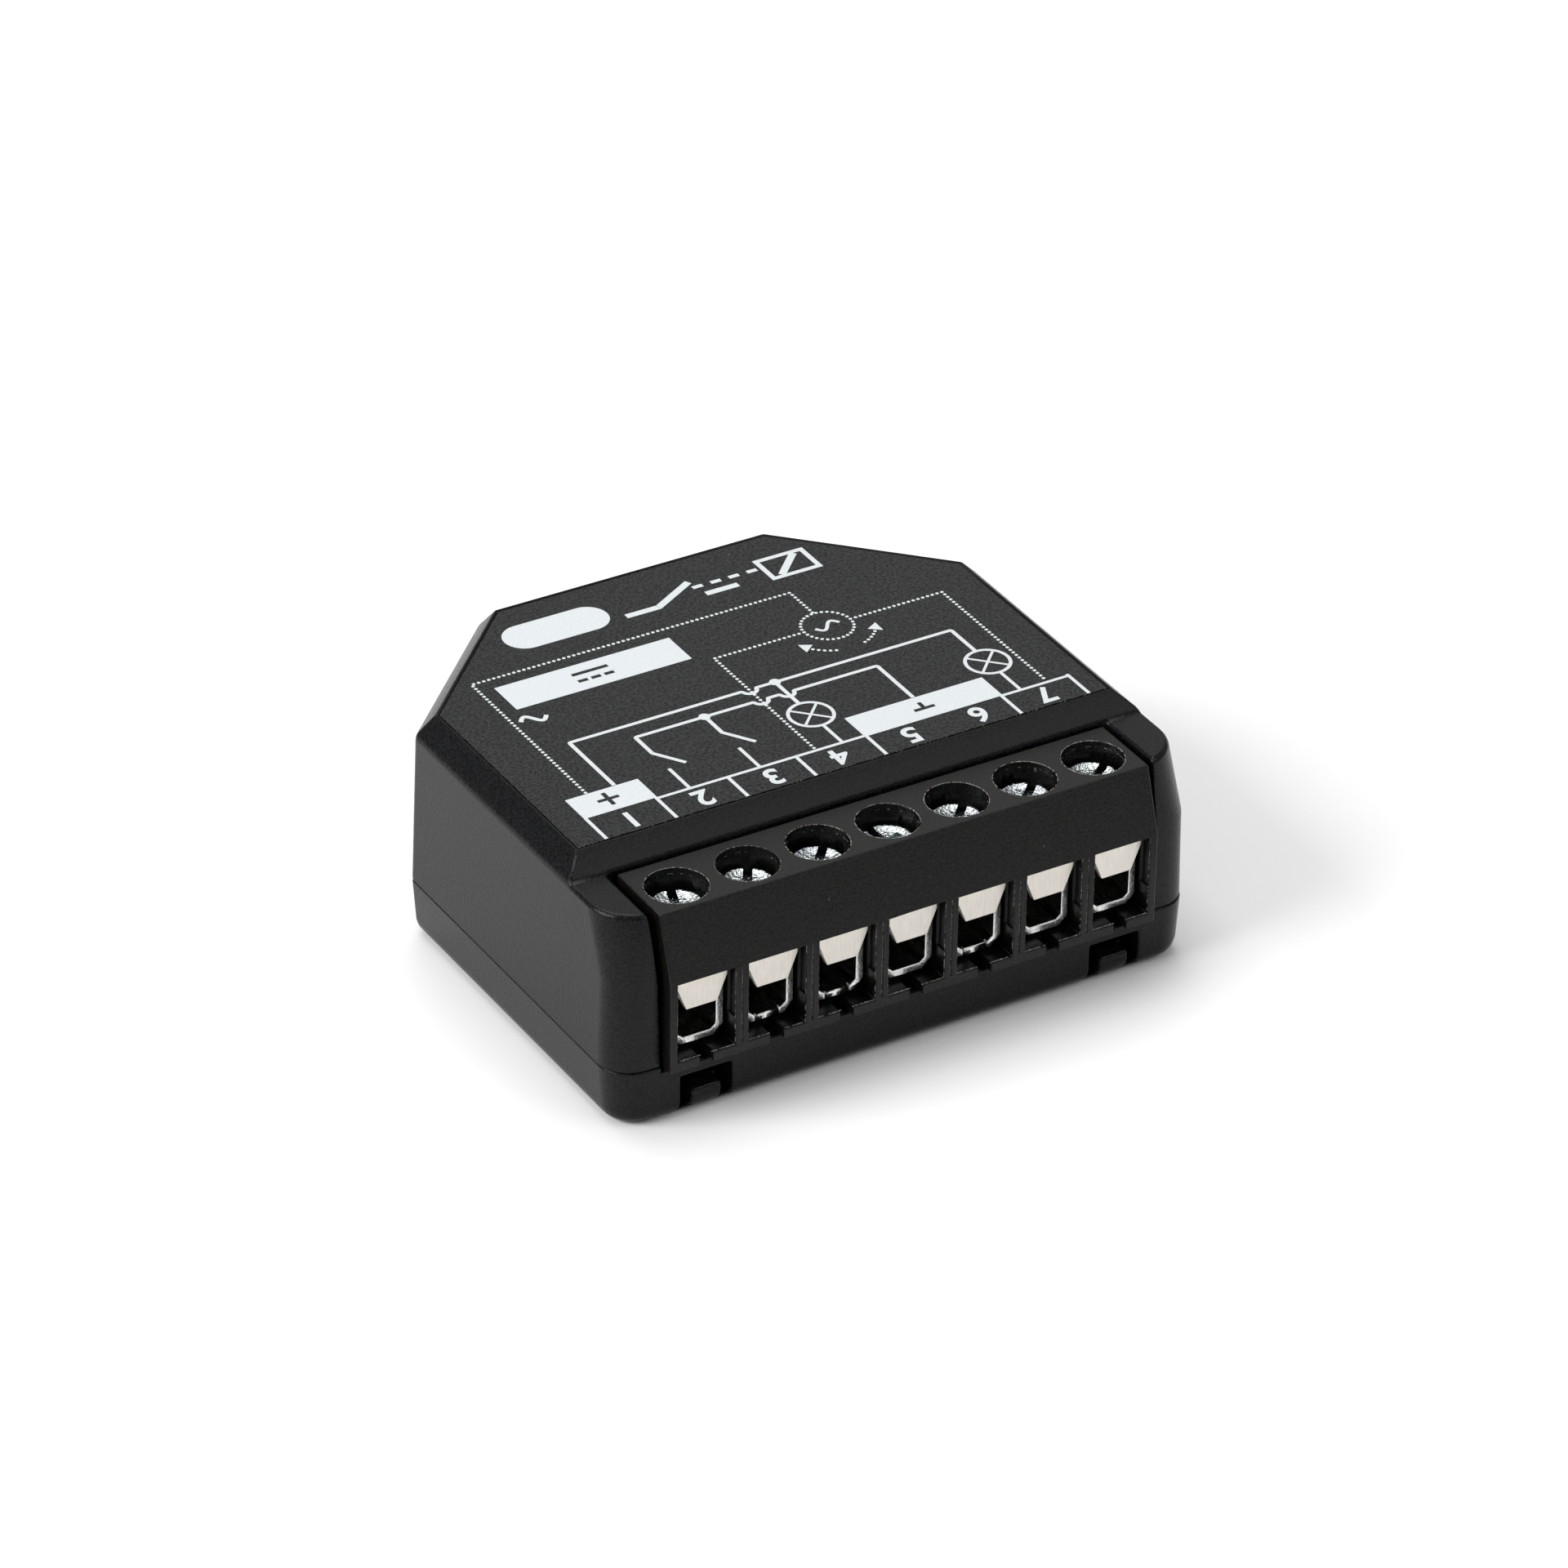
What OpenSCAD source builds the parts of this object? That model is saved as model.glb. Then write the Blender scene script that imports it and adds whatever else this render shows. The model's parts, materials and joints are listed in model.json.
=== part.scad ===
// Flush-mounted relay module: a two-part case with a seven-way screw terminal
// block, and the relays, power supply and radio board that it holds.
// Millimetres, +Z up, origin in the middle of the underside. The wire ports
// face -Y and the row of terminals runs along X.

/* [Case] */
// Width of the case at its parting line
case_w = 42; // [41:0.5:46]
// Depth from the front of the wire ports to the back wall
case_d = 37; // [36.5:0.5:41]
// Height of the case
case_h = 16; // [15.8:0.1:17.5]
// Height of the lower shell's rim
split_z = 4.1; // [4:0.1:4.6]
// Thickness of the side walls
wall = 1.2; // [1:0.1:1.4]
// Thickness of the roof under the label
roof = 1; // [0.8:0.1:1.2]
// Thickness of the floor
floor_t = 1.2; // [1:0.1:1.5]
// How far the upper shell's walls lean in above the parting line
draft = 0.3; // [0.1:0.05:0.4]
// How far the lower shell's sides lean in at the bottom
low_draft = 0.2; // [0.1:0.05:0.5]
// How far the lower shell's front stands out below the corner posts
chin = 0.1; // [0:0.05:0.3]
// Height of the bevel round the top
bevel_h = 1.3; // [0.8:0.1:1.6]
// Width of the bevel at the sides and the front
bevel_w = 1.33; // [0.8:0.01:1.6]
// Width of the bevel at the back
back_bevel_w = 0.74; // [0.4:0.01:1.2]
// Leg of the rear corner chamfers at the parting line
chamfer = 10; // [8:0.1:11]
// Leg of the rear corner chamfers on the label
top_chamfer = 9.4; // [7:0.1:10]
// Radius of the front corners at the parting line
corner_r = 2.2; // [1.4:0.1:3]
// Radius of the front corners at the shoulder
shoulder_r = 3.1; // [2:0.1:4]
// Rounding of the bottom edge
bottom_r = 1.1; // [0.4:0.1:1.2]
// How far the corner posts stand back from the wire ports
post_setback = 0.85; // [0.5:0.05:1.2]
// How far the posts lean back between the ports' top and the shoulder
post_lean = 0.95; // [0.4:0.05:1.3]
// Thickness of the upper shell's wall behind the terminal block
front_wall = 1; // [0.8:0.1:1.3]
// Thickness of the lap that joins the shells
lap_t = 0.6; // [0.5:0.05:0.7]
// Height of the lap above the parting line
lap_h = 0.9; // [0.6:0.1:1.4]
// Gap between the lap and the upper shell
lap_gap = 0.1; // [0.05:0.01:0.15]
// Length of the snap beads on the lap
bead_l = 9; // [6:0.5:12]
// How far the snap beads stand out of the lap
bead_h = 0.2; // [0.1:0.02:0.25]
// Height of the snap beads
bead_t = 0.3; // [0.2:0.05:0.3]

/* [Label] */
// Thickness of the label
label_t = 0.2; // [0.1:0.05:0.4]
// Width of the rim between the bevel and the label's recess
label_rim = 0.12; // [0.08:0.02:0.4]
// Gap round the label
label_gap = 0.12; // [0.05:0.01:0.2]

/* [Terminal block] */
// Spacing of the terminals
pitch = 5; // [4.95:0.01:5.08]
// Distance from the end screws to the ends of the block
block_end = 2.58; // [2.4:0.02:2.7]
// Depth of the block at the wire ports
block_d = 6.7; // [6.4:0.05:7.2]
// How far the block's front leans back above the ports
block_lean = 1.44; // [0.8:0.02:1.6]
// Gap between the block and the upper shell behind it
block_gap = 0.42; // [0.2:0.02:0.6]
// Gap beside the block at its top
side_gap_top = 0.5; // [0.2:0.02:0.6]
// Gap beside the block at the parting line
side_gap_low = 0.15; // [0.1:0.01:0.3]
// Width of a wire port
port_w = 4.1; // [4:0.02:4.3]
// Height of a wire port
port_h = 5.7; // [5.4:0.05:6]
// Thickness of the ports' floor
port_floor = 0.7; // [0.5:0.05:0.8]
// Thickness of the wall behind the ports
port_back = 0.45; // [0.35:0.05:0.6]
// Width of the drain notch in each port's floor
notch_w = 0.95; // [0.6:0.05:1.2]
// Length of the drain notch
notch_l = 2.4; // [1:0.1:3]
// Depth of the guide groove in each port's side walls
groove_t = 0.18; // [0.1:0.02:0.25]
// Length of the guide groove along the port
groove_l = 0.9; // [0.5:0.05:1]
// Height of the guide groove's lower end above the port's floor
groove_low = 1.9; // [1:0.1:3]
// Diameter of the screw holes
hole_d = 4; // [3.9:0.02:4.4]
// Distance from the back of the block to the screws' axes
screw_inset = 2.84; // [2.7:0.02:3]

/* [Clamps] */
// Diameter of the screw's shank
screw_d = 2.5; // [2:0.1:2.5]
// Diameter of the screw's head
head_d = 3.6; // [3.4:0.05:3.8]
// Height of the screw's head
head_h = 1.5; // [1.2:0.05:1.6]
// Depth of the head below the top of the block
head_depth = 1.3; // [1.1:0.05:1.4]
// Width of the slot and of the cross in the head
slot_w = 0.6; // [0.4:0.05:0.8]
// Depth of the slot and of the cross
slot_depth = 0.65; // [0.4:0.05:0.8]
// Length of the cross
cross_l = 2.3; // [1.6:0.1:2.6]
// Radial clearance of the screw in its cage
screw_clear = 0.05; // [0.02:0.01:0.1]
// Width of a clamp cage
cage_w = 3.66; // [3.5:0.02:3.7]
// Thickness of a cage's legs
leg_t = 0.5; // [0.4:0.05:0.5]
// Thickness of a cage's lower bar
bar_t = 0.5; // [0.4:0.05:0.6]
// Thickness of a cage's threaded top
nut_t = 1; // [0.8:0.05:1.05]
// Chamfer of a cage's lower corners
cage_chamfer = 0.65; // [0.3:0.05:0.8]
// Gap between a cage and the contact round it
cage_gap = 0.12; // [0.05:0.01:0.2]
// Gap under a cage when its clamp is open
cage_lift = 0.3; // [0.1:0.05:0.35]
// Height left for a wire when the clamp is open
wire_h = 2.4; // [2:0.01:2.45]
// Thickness of the contact strip
plate_t = 0.45; // [0.4:0.05:0.6]
// Distance from the port's mouth to the contact's front plate
plate_depth = 0.68; // [0.3:0.01:0.8]
// Width of the contact's front plate at its top
plate_w = 3.6; // [3:0.05:3.7]
// Height of the slanting sides of that plate
slant_h = 1.75; // [1:0.05:2.2]
// Width of the contact's tongue
tongue_w = 2.2; // [1.8:0.05:2.45]
// Width of the contact's solder pin
pin_w = 1; // [0.8:0.05:1.1]

/* [Snap slots] */
// Spacing of the two slots in the lower shell's front wall
snap_span = 29.7; // [28:0.1:31]
// How far the slots lie to the right of the middle
snap_shift = 0.3; // [-0.5:0.05:0.5]
// Width of each slot
snap_w = 3.65; // [3:0.05:4]
// Width of the tab that each slot leaves
tab_w = 2.1; // [1.4:0.05:2.3]
// Height of the slots' upper edge
snap_top = 2.85; // [2.4:0.05:3]
// Height of the tabs' upper edge
tab_top = 1.75; // [1.4:0.05:2]
// Height of the slots' lower edge
snap_low = 0.4; // [0.3:0.05:0.8]

/* [Boards] */
// Thickness of the main board
board_t = 1.2; // [0.8:0.1:1.2]
// Gap between the main board and the case
board_gap = 0.3; // [0.2:0.05:0.5]
// Height of the posts under the main board
standoff_h = 1.5; // [1.4:0.1:1.7]
// Diameter of the posts under the main board
standoff_d = 2.6; // [2:0.1:3]
// Diameter of the components' leads
lead_d = 0.6; // [0.4:0.05:0.7]
// Diameter of the holes for those leads
lead_hole_d = 0.9; // [0.8:0.05:1.1]
// Length of the leads below the main board
lead_end = 0.6; // [0.3:0.05:0.8]
// Width of the radio board
radio_w = 16; // [14:0.5:17]
// Height of the radio board
radio_h = 9.1; // [8.5:0.1:9.5]
// Thickness of the radio board
radio_t = 0.8; // [0.6:0.1:1]
// Gap between the radio board and the back wall
radio_gap = 0.3; // [0.2:0.05:0.8]
// Width of the shield on the radio board
shield_w = 11; // [9:0.5:12]
// Height of the shield on the radio board
shield_h = 7; // [5:0.25:7.25]
// Thickness of the shield on the radio board
shield_t = 1.8; // [1.4:0.1:2]
// Sheet thickness of the shield
shield_sheet = 0.25; // [0.15:0.05:0.3]
// Height of the header strip under the shield
header_h = 1.3; // [1:0.1:1.5]
// Gap between the header strip and the shield
shield_gap = 0.3; // [0.1:0.05:0.5]
// Spacing of the header's pins
header_pitch = 1.6; // [1.3:0.05:1.8]

/* [Relays] */
// Width of a relay
relay_w = 10.2; // [9.6:0.1:10.6]
// Length of a relay
relay_l = 20.4; // [19.5:0.1:20.8]
// Height of a relay
relay_h = 9.2; // [9:0.1:10.4]
// Gap between the two relays
relay_gap = 0.6; // [0.3:0.1:1]
// Gap between the relays and the wall in front of them
relay_room = 0.3; // [0.2:0.05:0.7]
// Thickness of a relay's base
base_t = 1.2; // [1:0.1:1.4]
// Thickness of a relay's cover
cover_t = 0.6; // [0.4:0.05:0.8]
// Thickness of the yoke
yoke_t = 0.8; // [0.6:0.05:1]
// Width of the yoke and of the coil's flanges
coil_w = 6.2; // [5.4:0.1:6.6]
// Diameter of the coil's winding
winding_d = 4.8; // [4.4:0.1:4.9]
// Diameter of the coil's tube
tube_d = 3.4; // [3.2:0.1:3.8]
// Diameter of the iron core
core_d = 2.4; // [2:0.1:2.6]
// Diameter of the core's pole face
pole_d = 4; // [3.4:0.1:4.6]
// Thickness of the coil's flanges and of the pole face
flange_t = 0.6; // [0.4:0.05:0.8]
// Free height under the coil
coil_room = 1.4; // [1.4:0.05:1.6]
// Thickness of the armature
arm_t = 1; // [0.8:0.05:1.1]
// Gap between the yoke and the end of the cover
yoke_room = 0.4; // [0.2:0.05:0.6]
// How far the armature reaches up the end of the yoke
arm_reach = 0.6; // [0.4:0.05:0.7]
// Distance from the cover to the contact spring
spring_room = 1.1; // [0.6:0.05:1.3]
// Thickness of the contact spring
spring_t = 0.2; // [0.1:0.02:0.25]
// Distance from the top of the armature to the top of the contact spring
spring_low = 1.5; // [1:0.1:3]
// Gap between the armature and the pole when the relay is off
pole_gap = 0.3; // [0.25:0.01:0.4]
// Gap between the contacts when the relay is off
contact_gap = 0.45; // [0.42:0.01:0.5]
// Diameter of the contacts
contact_d = 1.1; // [0.9:0.05:1.15]
// Thickness of the contacts
contact_t = 0.4; // [0.3:0.02:0.42]

/* [Power supply] */
// Thickness of the transformer's core
trafo_w = 4; // [3.5:0.1:4.4]
// Length of the transformer's core
trafo_l = 9.6; // [9:0.1:10]
// Height of the transformer's core
trafo_h = 8.6; // [8:0.1:9.5]
// Width of the core's middle leg
trafo_leg = 2.8; // [2.4:0.1:3.2]
// Width of the core's two windows
trafo_window = 2.2; // [2:0.05:2.4]
// Thickness of the core above and below its windows
trafo_yoke = 1.6; // [1.3:0.05:1.8]
// Thickness of the transformer's bobbin
bobbin_t = 0.4; // [0.3:0.05:0.5]
// Thickness of the transformer's winding
trafo_winding = 1; // [0.7:0.05:1.2]
// Diameter of the input capacitor
cap_d = 6.3; // [5:0.1:6.6]
// Length of the input capacitor
cap_l = 9; // [7:0.5:9.5]
// Spacing of the input capacitor's leads
cap_pitch = 2.5; // [2:0.1:3.5]
// Diameter of the output capacitor
tank_d = 5; // [4:0.1:5.4]
// Height of the output capacitor
tank_h = 8; // [6:0.5:9.5]
// Gap between the transformer and the output capacitor
tank_gap = 0.9; // [0.4:0.1:1.5]
// Diameter of the varistor
varistor_d = 7; // [5:0.1:7.4]
// Thickness of the varistor
varistor_t = 3.2; // [2.4:0.1:3.4]
// Spacing of the varistor's leads
varistor_pitch = 4.6; // [3:0.1:5]
// Gap between the input capacitor's leads and the varistor
varistor_gap = 1.2; // [0.8:0.1:2]
// Gap between the varistor and the main board
varistor_lift = 0.6; // [0.3:0.05:1]
// Diameter of the fusible resistor
fuse_d = 2.4; // [1.8:0.1:2.6]
// Length of the fusible resistor
fuse_l = 7; // [5:0.5:8]
// Gap between the fusible resistor and what stands beside it
fuse_gap = 0.2; // [0.1:0.05:0.4]
// Height of the lead's bow over the fusible resistor
fuse_bow = 0.6; // [0.4:0.05:1]
// Gap between the two chips under the power supply
chip_gap = 0.8; // [0.4:0.1:1.5]
// Thickness of the chips under the main board
chip_t = 1.1; // [0.8:0.05:1.2]
// Length of the chips under the main board
chip_l = 4.9; // [4:0.1:5.2]
// Width of the chips under the main board
chip_w = 3.9; // [3:0.1:4.2]

/* [Control button] */
// Diameter of the button
button_d = 2.8; // [2:0.1:3.2]
// Distance from the relays' front ends back to the button
button_back = 5; // [4.8:0.1:5.2]
// Radial clearance of the button in the floor
button_clear = 0.08; // [0.04:0.01:0.1]
// Depth of the button's face inside the floor
button_sink = 0.2; // [0.1:0.05:0.4]
// Width of the collar that keeps the button in
collar_w = 0.5; // [0.3:0.05:0.7]
// Thickness of that collar
collar_t = 0.25; // [0.2:0.05:0.3]
// Height of the switch above the button
switch_t = 0.8; // [0.6:0.05:0.85]
// Width of the switch above the button
switch_w = 4.5; // [4:0.1:5]
// Diameter of the light hole in the floor
light_d = 1.2; // [0.8:0.1:1.6]
// Distance from the relays' front ends back to the light hole
light_back = 1.9; // [1.5:0.1:3]
// Length of the status lamp
lamp_l = 1.6; // [1.2:0.1:2]
// Width of the status lamp
lamp_w = 0.8; // [0.6:0.05:1]
// Height of the status lamp
lamp_t = 0.6; // [0.4:0.05:0.8]

/* [Hidden] */
poles = 7;
end_pole = (poles - 1) / 2;
header_pins = 8;

// Smallest overlap used to pass cuts through a face, and the seat gap of loose parts
cut = 0.5;
seat = 0.05;
slice = 0.01;
facets = 64;
arc_steps = 8;

// Heights of the main levels
shoulder_z = case_h - bevel_h;
label_z = case_h - label_t;
ceiling_z = label_z - roof;
board_z = floor_t + standoff_h;
board_top = board_z + board_t;
lead_z = board_z - lead_end;
port_z = board_top + port_floor;
port_top = port_z + port_h;
cage_z = port_z + cage_lift;
tongue_z = cage_z + bar_t + wire_h;
nut_z = tongue_z + plate_t + seat;
head_z = shoulder_z - head_depth - head_h;

// Places from front to back
front_y = -case_d / 2;
post_y = front_y + post_setback;
chin_y = post_y - chin;
block_back = front_y + block_d;
bevel_y = block_back + block_gap;
label_y = bevel_y + bevel_w;
screw_y = block_back - screw_inset;
port_end = block_back - port_back;
plate_y = front_y + plate_depth;
cage_y = plate_y + plate_t + cage_gap;
cage_end = port_end - plate_t - cage_gap;
pin_y = port_end - plate_t / 2;

// Outlines of the case
part_w = case_w / 2;
part_back = case_d / 2;
foot_w = part_w - draft;
foot_back = part_back - draft;
foot_leg = chamfer - draft * (2 - sqrt(2));
inner_w = foot_w - wall;
inner_back = foot_back - wall;
inner_leg = foot_leg - wall * (2 - sqrt(2));
lap_leg = inner_leg + lap_t * (2 - sqrt(2));
lap_gap_leg = lap_leg + lap_gap * (2 - sqrt(2));
board_leg = inner_leg - board_gap * (2 - sqrt(2));
lap_y = bevel_y + front_wall + 2 * lap_gap;
block_w = end_pole * pitch + block_end;

// Places of the inner parts
relay_y = bevel_y + front_wall + relay_room;
relay_x = (relay_gap + relay_w) / 2;
side_x = (relay_x + relay_w / 2 + inner_w) / 2;
spring_y = cover_t + spring_room;
arm_y = spring_y + spring_t;
pole_y = arm_y + arm_t + pole_gap;
coil_y = pole_y + flange_t;
coil_end = relay_l - cover_t - yoke_room - yoke_t;
yoke_z = relay_h - cover_t - spring_t - yoke_t;
flange_z = base_t + coil_room;
coil_z = (flange_z + yoke_z) / 2;
contact_z = base_t + contact_gap / 2 + contact_d / 2;
arm_z = flange_z + pole_gap;
hinge_z = yoke_z + arm_reach;
trafo_y = relay_y + trafo_l / 2;
window_h = trafo_h - 2 * trafo_yoke;
tank_y = trafo_y + trafo_l / 2 + tank_gap + tank_d / 2;
cap_y = relay_y;
cap_lead_y = cap_y + cap_l + lead_d;
varistor_y = cap_lead_y + lead_d / 2 + varistor_gap + varistor_t / 2;
varistor_z = board_top + varistor_lift + varistor_d / 2;
fuse_x = -relay_x - relay_w / 2 - fuse_gap - fuse_d / 2;
fuse_y = tank_y + tank_d / 2 + fuse_gap + fuse_d / 2;
fuse_lead_y = fuse_y + fuse_d / 2 + fuse_gap + lead_hole_d / 2;
radio_y = inner_back - radio_gap - radio_t;
shield_z = board_top + header_h + shield_gap;
header_y = radio_y - shield_t;
header_w = header_pins * header_pitch;
button_y = relay_y + button_back;
light_y = relay_y + light_back;
standoffs = [
    [inner_w - standoff_d, relay_y],
    [inner_w - inner_leg, inner_back - standoff_d]];

function pole_x(i) = (i - 1 - end_pole) * pitch;
function relay_side(i) = i == 1 ? -relay_x : relay_x;

function arc(x, y, r, from) = [for (k = [0 : arc_steps])
    [x + r * cos(from + 90 * k / arc_steps), y + r * sin(from + 90 * k / arc_steps)]];

function rear(w, back, leg) = [[w, back - leg], [w - leg, back], [leg - w, back], [-w, back - leg]];

function round_outline(w, front, back, leg, r) = concat(
    arc(r - w, front + r, r, 180), arc(w - r, front + r, r, 270), rear(w, back, leg));

function sharp_outline(w, front, back, leg) = concat([[-w, front], [w, front]], rear(w, back, leg));

module level(z, points) {
    translate([0, 0, z]) linear_extrude(slice) polygon(points);
}

module prism(z, h, points) {
    translate([0, 0, z]) linear_extrude(h) polygon(points);
}

// A profile in Y and Z, drawn out along X about the middle
module along_x(length, points) {
    translate([-length / 2, 0, 0]) rotate([90, 0, 90]) linear_extrude(length) polygon(points);
}

// A profile in X and Z, drawn out along +Y from y
module along_y(y, length, points) {
    translate([0, y + length, 0]) rotate([90, 0, 0]) linear_extrude(length) polygon(points);
}

// A box centred in X and Y that stands on z
module block(x, y, z, size) {
    translate([x - size.x / 2, y - size.y / 2, z]) cube(size);
}

// A cylinder along +Y that starts at a point
module rod_y(x, y, z, length, d) {
    translate([x, y, z]) rotate([-90, 0, 0]) cylinder(h = length, d = d, $fn = facets);
}

// A straight lead that goes down through the main board
module lead(x, y, top) {
    translate([x, y, lead_z]) cylinder(h = top - lead_z, d = lead_d, $fn = facets);
}

module lead_hole(x, y, d) {
    translate([x, y, board_z - cut]) cylinder(h = board_t + 2 * cut, d = d, $fn = facets);
}

module upper_body() {
    hull() {
        level(split_z, round_outline(part_w, post_y, part_back, chamfer, corner_r));
        level(port_top, round_outline((part_w + foot_w) / 2, post_y, (part_back + foot_back) / 2,
                                      (chamfer + foot_leg) / 2, corner_r));
        level(shoulder_z - slice, round_outline(foot_w, post_y + post_lean, foot_back, foot_leg, shoulder_r));
    }
    hull() {
        level(shoulder_z - cut, sharp_outline(foot_w, bevel_y, foot_back, foot_leg));
        level(shoulder_z - slice, sharp_outline(foot_w, bevel_y, foot_back, foot_leg));
        level(case_h - slice,
              sharp_outline(foot_w - bevel_w, label_y, foot_back - back_bevel_w, top_chamfer));
    }
}

module bead(x, h, grow) {
    translate([x, 0, split_z + lap_h / 2])
        cube([2 * h, bead_l + 2 * grow, bead_t + 2 * grow], center = true);
}

module upper_shell() color("#1d1e20") difference() {
    upper_body();
    prism(split_z - cut, ceiling_z - split_z + cut,
          sharp_outline(inner_w, bevel_y + front_wall, inner_back, inner_leg));
    prism(split_z - cut, lap_h + lap_gap + cut, sharp_outline(
        inner_w + lap_t + lap_gap, bevel_y + front_wall, inner_back + lap_t + lap_gap, lap_gap_leg));
    along_y(front_y - cut, bevel_y - front_y + cut, [
        [-block_w - side_gap_low, split_z - cut], [block_w + side_gap_low, split_z - cut],
        [block_w + side_gap_low, split_z], [block_w + side_gap_top, shoulder_z],
        [block_w + side_gap_top, case_h], [-block_w - side_gap_top, case_h],
        [-block_w - side_gap_top, shoulder_z], [-block_w - side_gap_low, split_z]]);
    prism(label_z, label_t + cut, sharp_outline(
        foot_w - bevel_w - label_rim, label_y + label_rim, foot_back - back_bevel_w - label_rim,
        top_chamfer - label_rim * (2 - sqrt(2))));
    for (side = [-1, 1]) bead(side * (inner_w + lap_t + lap_gap), bead_h, lap_gap);
}

module snap_slot(x) {
    difference() {
        block(x, chin_y, snap_low, [snap_w, 2 * (chin + draft + wall + cut), snap_top - snap_low]);
        block(x, chin_y, 0, [tab_w, 2 * (chin + draft + wall + 2 * cut), tab_top]);
    }
}

module lower_shell() color("#1b1c1e") {
    difference() {
        union() {
            hull() {
                for (a = [0 : 30 : 90])
                    let (inset = bottom_r * (1 - sin(a)))
                        level(bottom_r * (1 - cos(a)), round_outline(
                            part_w - low_draft - inset, chin_y + inset, part_back - low_draft - inset,
                            chamfer - (low_draft + inset) * (2 - sqrt(2)), corner_r - inset));
                level(split_z - slice, round_outline(part_w, chin_y, part_back, chamfer, corner_r));
            }
            difference() {
                intersection() {
                    prism(floor_t, split_z + lap_h - floor_t,
                          sharp_outline(inner_w + lap_t, post_y + wall, inner_back + lap_t, lap_leg));
                    translate([-case_w, lap_y, 0]) cube([2 * case_w, case_d, case_h]);
                }
                prism(0, case_h, sharp_outline(inner_w, post_y, inner_back, inner_leg));
            }
            for (side = [-1, 1]) bead(side * (inner_w + lap_t), bead_h, 0);
        }
        prism(floor_t, split_z, sharp_outline(inner_w, post_y + draft + wall, inner_back, inner_leg));
        block(0, front_y, board_top - lap_gap, [2 * (block_w + side_gap_low), 2 * block_d, split_z]);
        for (side = [-1, 1]) snap_slot(snap_shift + side * snap_span / 2);
        translate([side_x, button_y, -cut])
            cylinder(h = floor_t + 2 * cut, r = button_d / 2 + button_clear, $fn = facets);
        translate([side_x, light_y, -cut]) cylinder(h = floor_t + 2 * cut, d = light_d, $fn = facets);
    }
    for (side = [-1, 1], place = standoffs)
        translate([side * place.x, place.y, floor_t - slice])
            cylinder(h = standoff_h + slice, d = standoff_d, $fn = facets);
}

module label_plate() color("#262728") prism(label_z, label_t, sharp_outline(
    foot_w - bevel_w - label_rim - label_gap, label_y + label_rim + label_gap,
    foot_back - back_bevel_w - label_rim - label_gap,
    top_chamfer - (label_rim + label_gap) * (2 - sqrt(2))));

module port(x) {
    translate([x - port_w / 2, front_y - cut, port_z]) cube([port_w, port_end - front_y + cut, port_h]);
    translate([x - port_w / 2, cage_y - cage_gap, port_z])
        cube([port_w, port_end - cage_y + cage_gap, head_z - port_z]);
    translate([x, screw_y, head_z - cut])
        cylinder(h = shoulder_z - head_z + 2 * cut, d = hole_d, $fn = facets);
    block(x, front_y, board_top - cut, [notch_w, 2 * notch_l, port_floor + 2 * cut]);
    block(x, pin_y, board_top - cut, [pin_w + 2 * cage_gap, plate_t + 2 * cage_gap, port_floor + 2 * cut]);
    for (side = [-1, 1])
        translate([x + side * port_w / 2 - groove_t, plate_y - groove_l / 2, port_z + groove_low])
            cube([2 * groove_t, groove_l, port_h - groove_low]);
}

module terminal_block() color("#222223") difference() {
    along_x(2 * block_w, [
        [block_back, board_top], [front_y, board_top], [front_y, port_top],
        [front_y + block_lean, shoulder_z], [block_back, shoulder_z]]);
    for (i = [1 : poles]) port(pole_x(i));
}

module terminal_screw(i) color("#c9cbcd") translate([pole_x(i), screw_y, 0]) difference() {
    union() {
        translate([0, 0, head_z]) cylinder(h = head_h, d = head_d, $fn = facets);
        translate([0, 0, nut_z]) cylinder(h = head_z - nut_z + seat, d = screw_d, $fn = facets);
    }
    rotate(i * 360 / poles) {
        block(0, 0, head_z + head_h - slot_depth, [head_d + cut, slot_w, slot_depth + cut]);
        block(0, 0, head_z + head_h - slot_depth, [slot_w, cross_l, slot_depth + cut]);
    }
}

module clamp_cage(i) color("#b9bbbd") translate([pole_x(i), 0, 0]) difference() {
    along_y(cage_y, cage_end - cage_y, [
        [cage_chamfer - cage_w / 2, cage_z], [cage_w / 2 - cage_chamfer, cage_z],
        [cage_w / 2, cage_z + cage_chamfer], [cage_w / 2, nut_z + nut_t],
        [-cage_w / 2, nut_z + nut_t], [-cage_w / 2, cage_z + cage_chamfer]]);
    along_y(cage_y - cut, cage_end - cage_y + 2 * cut, [
        [cage_chamfer - cage_w / 2 + leg_t / 2, cage_z + bar_t],
        [cage_w / 2 - cage_chamfer - leg_t / 2, cage_z + bar_t],
        [cage_w / 2 - leg_t, cage_z + bar_t + cage_chamfer / 2], [cage_w / 2 - leg_t, nut_z],
        [leg_t - cage_w / 2, nut_z], [leg_t - cage_w / 2, cage_z + bar_t + cage_chamfer / 2]]);
    translate([0, screw_y, nut_z - cut])
        cylinder(h = nut_t + 2 * cut, r = screw_d / 2 + screw_clear, $fn = facets);
}

module contact_plate(i) color("#d8d3ca") translate([pole_x(i), 0, 0]) {
    along_y(plate_y, plate_t, [
        [-tongue_w / 2, tongue_z], [tongue_w / 2, tongue_z],
        [plate_w / 2, tongue_z + slant_h], [plate_w / 2, port_top - seat],
        [-plate_w / 2, port_top - seat], [-plate_w / 2, tongue_z + slant_h]]);
    translate([-tongue_w / 2, plate_y, tongue_z]) cube([tongue_w, port_end - plate_y, plate_t]);
    block(0, pin_y, port_z, [tongue_w, plate_t, tongue_z + plate_t - port_z]);
    block(0, pin_y, lead_z, [pin_w, plate_t, tongue_z - lead_z]);
}

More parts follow.
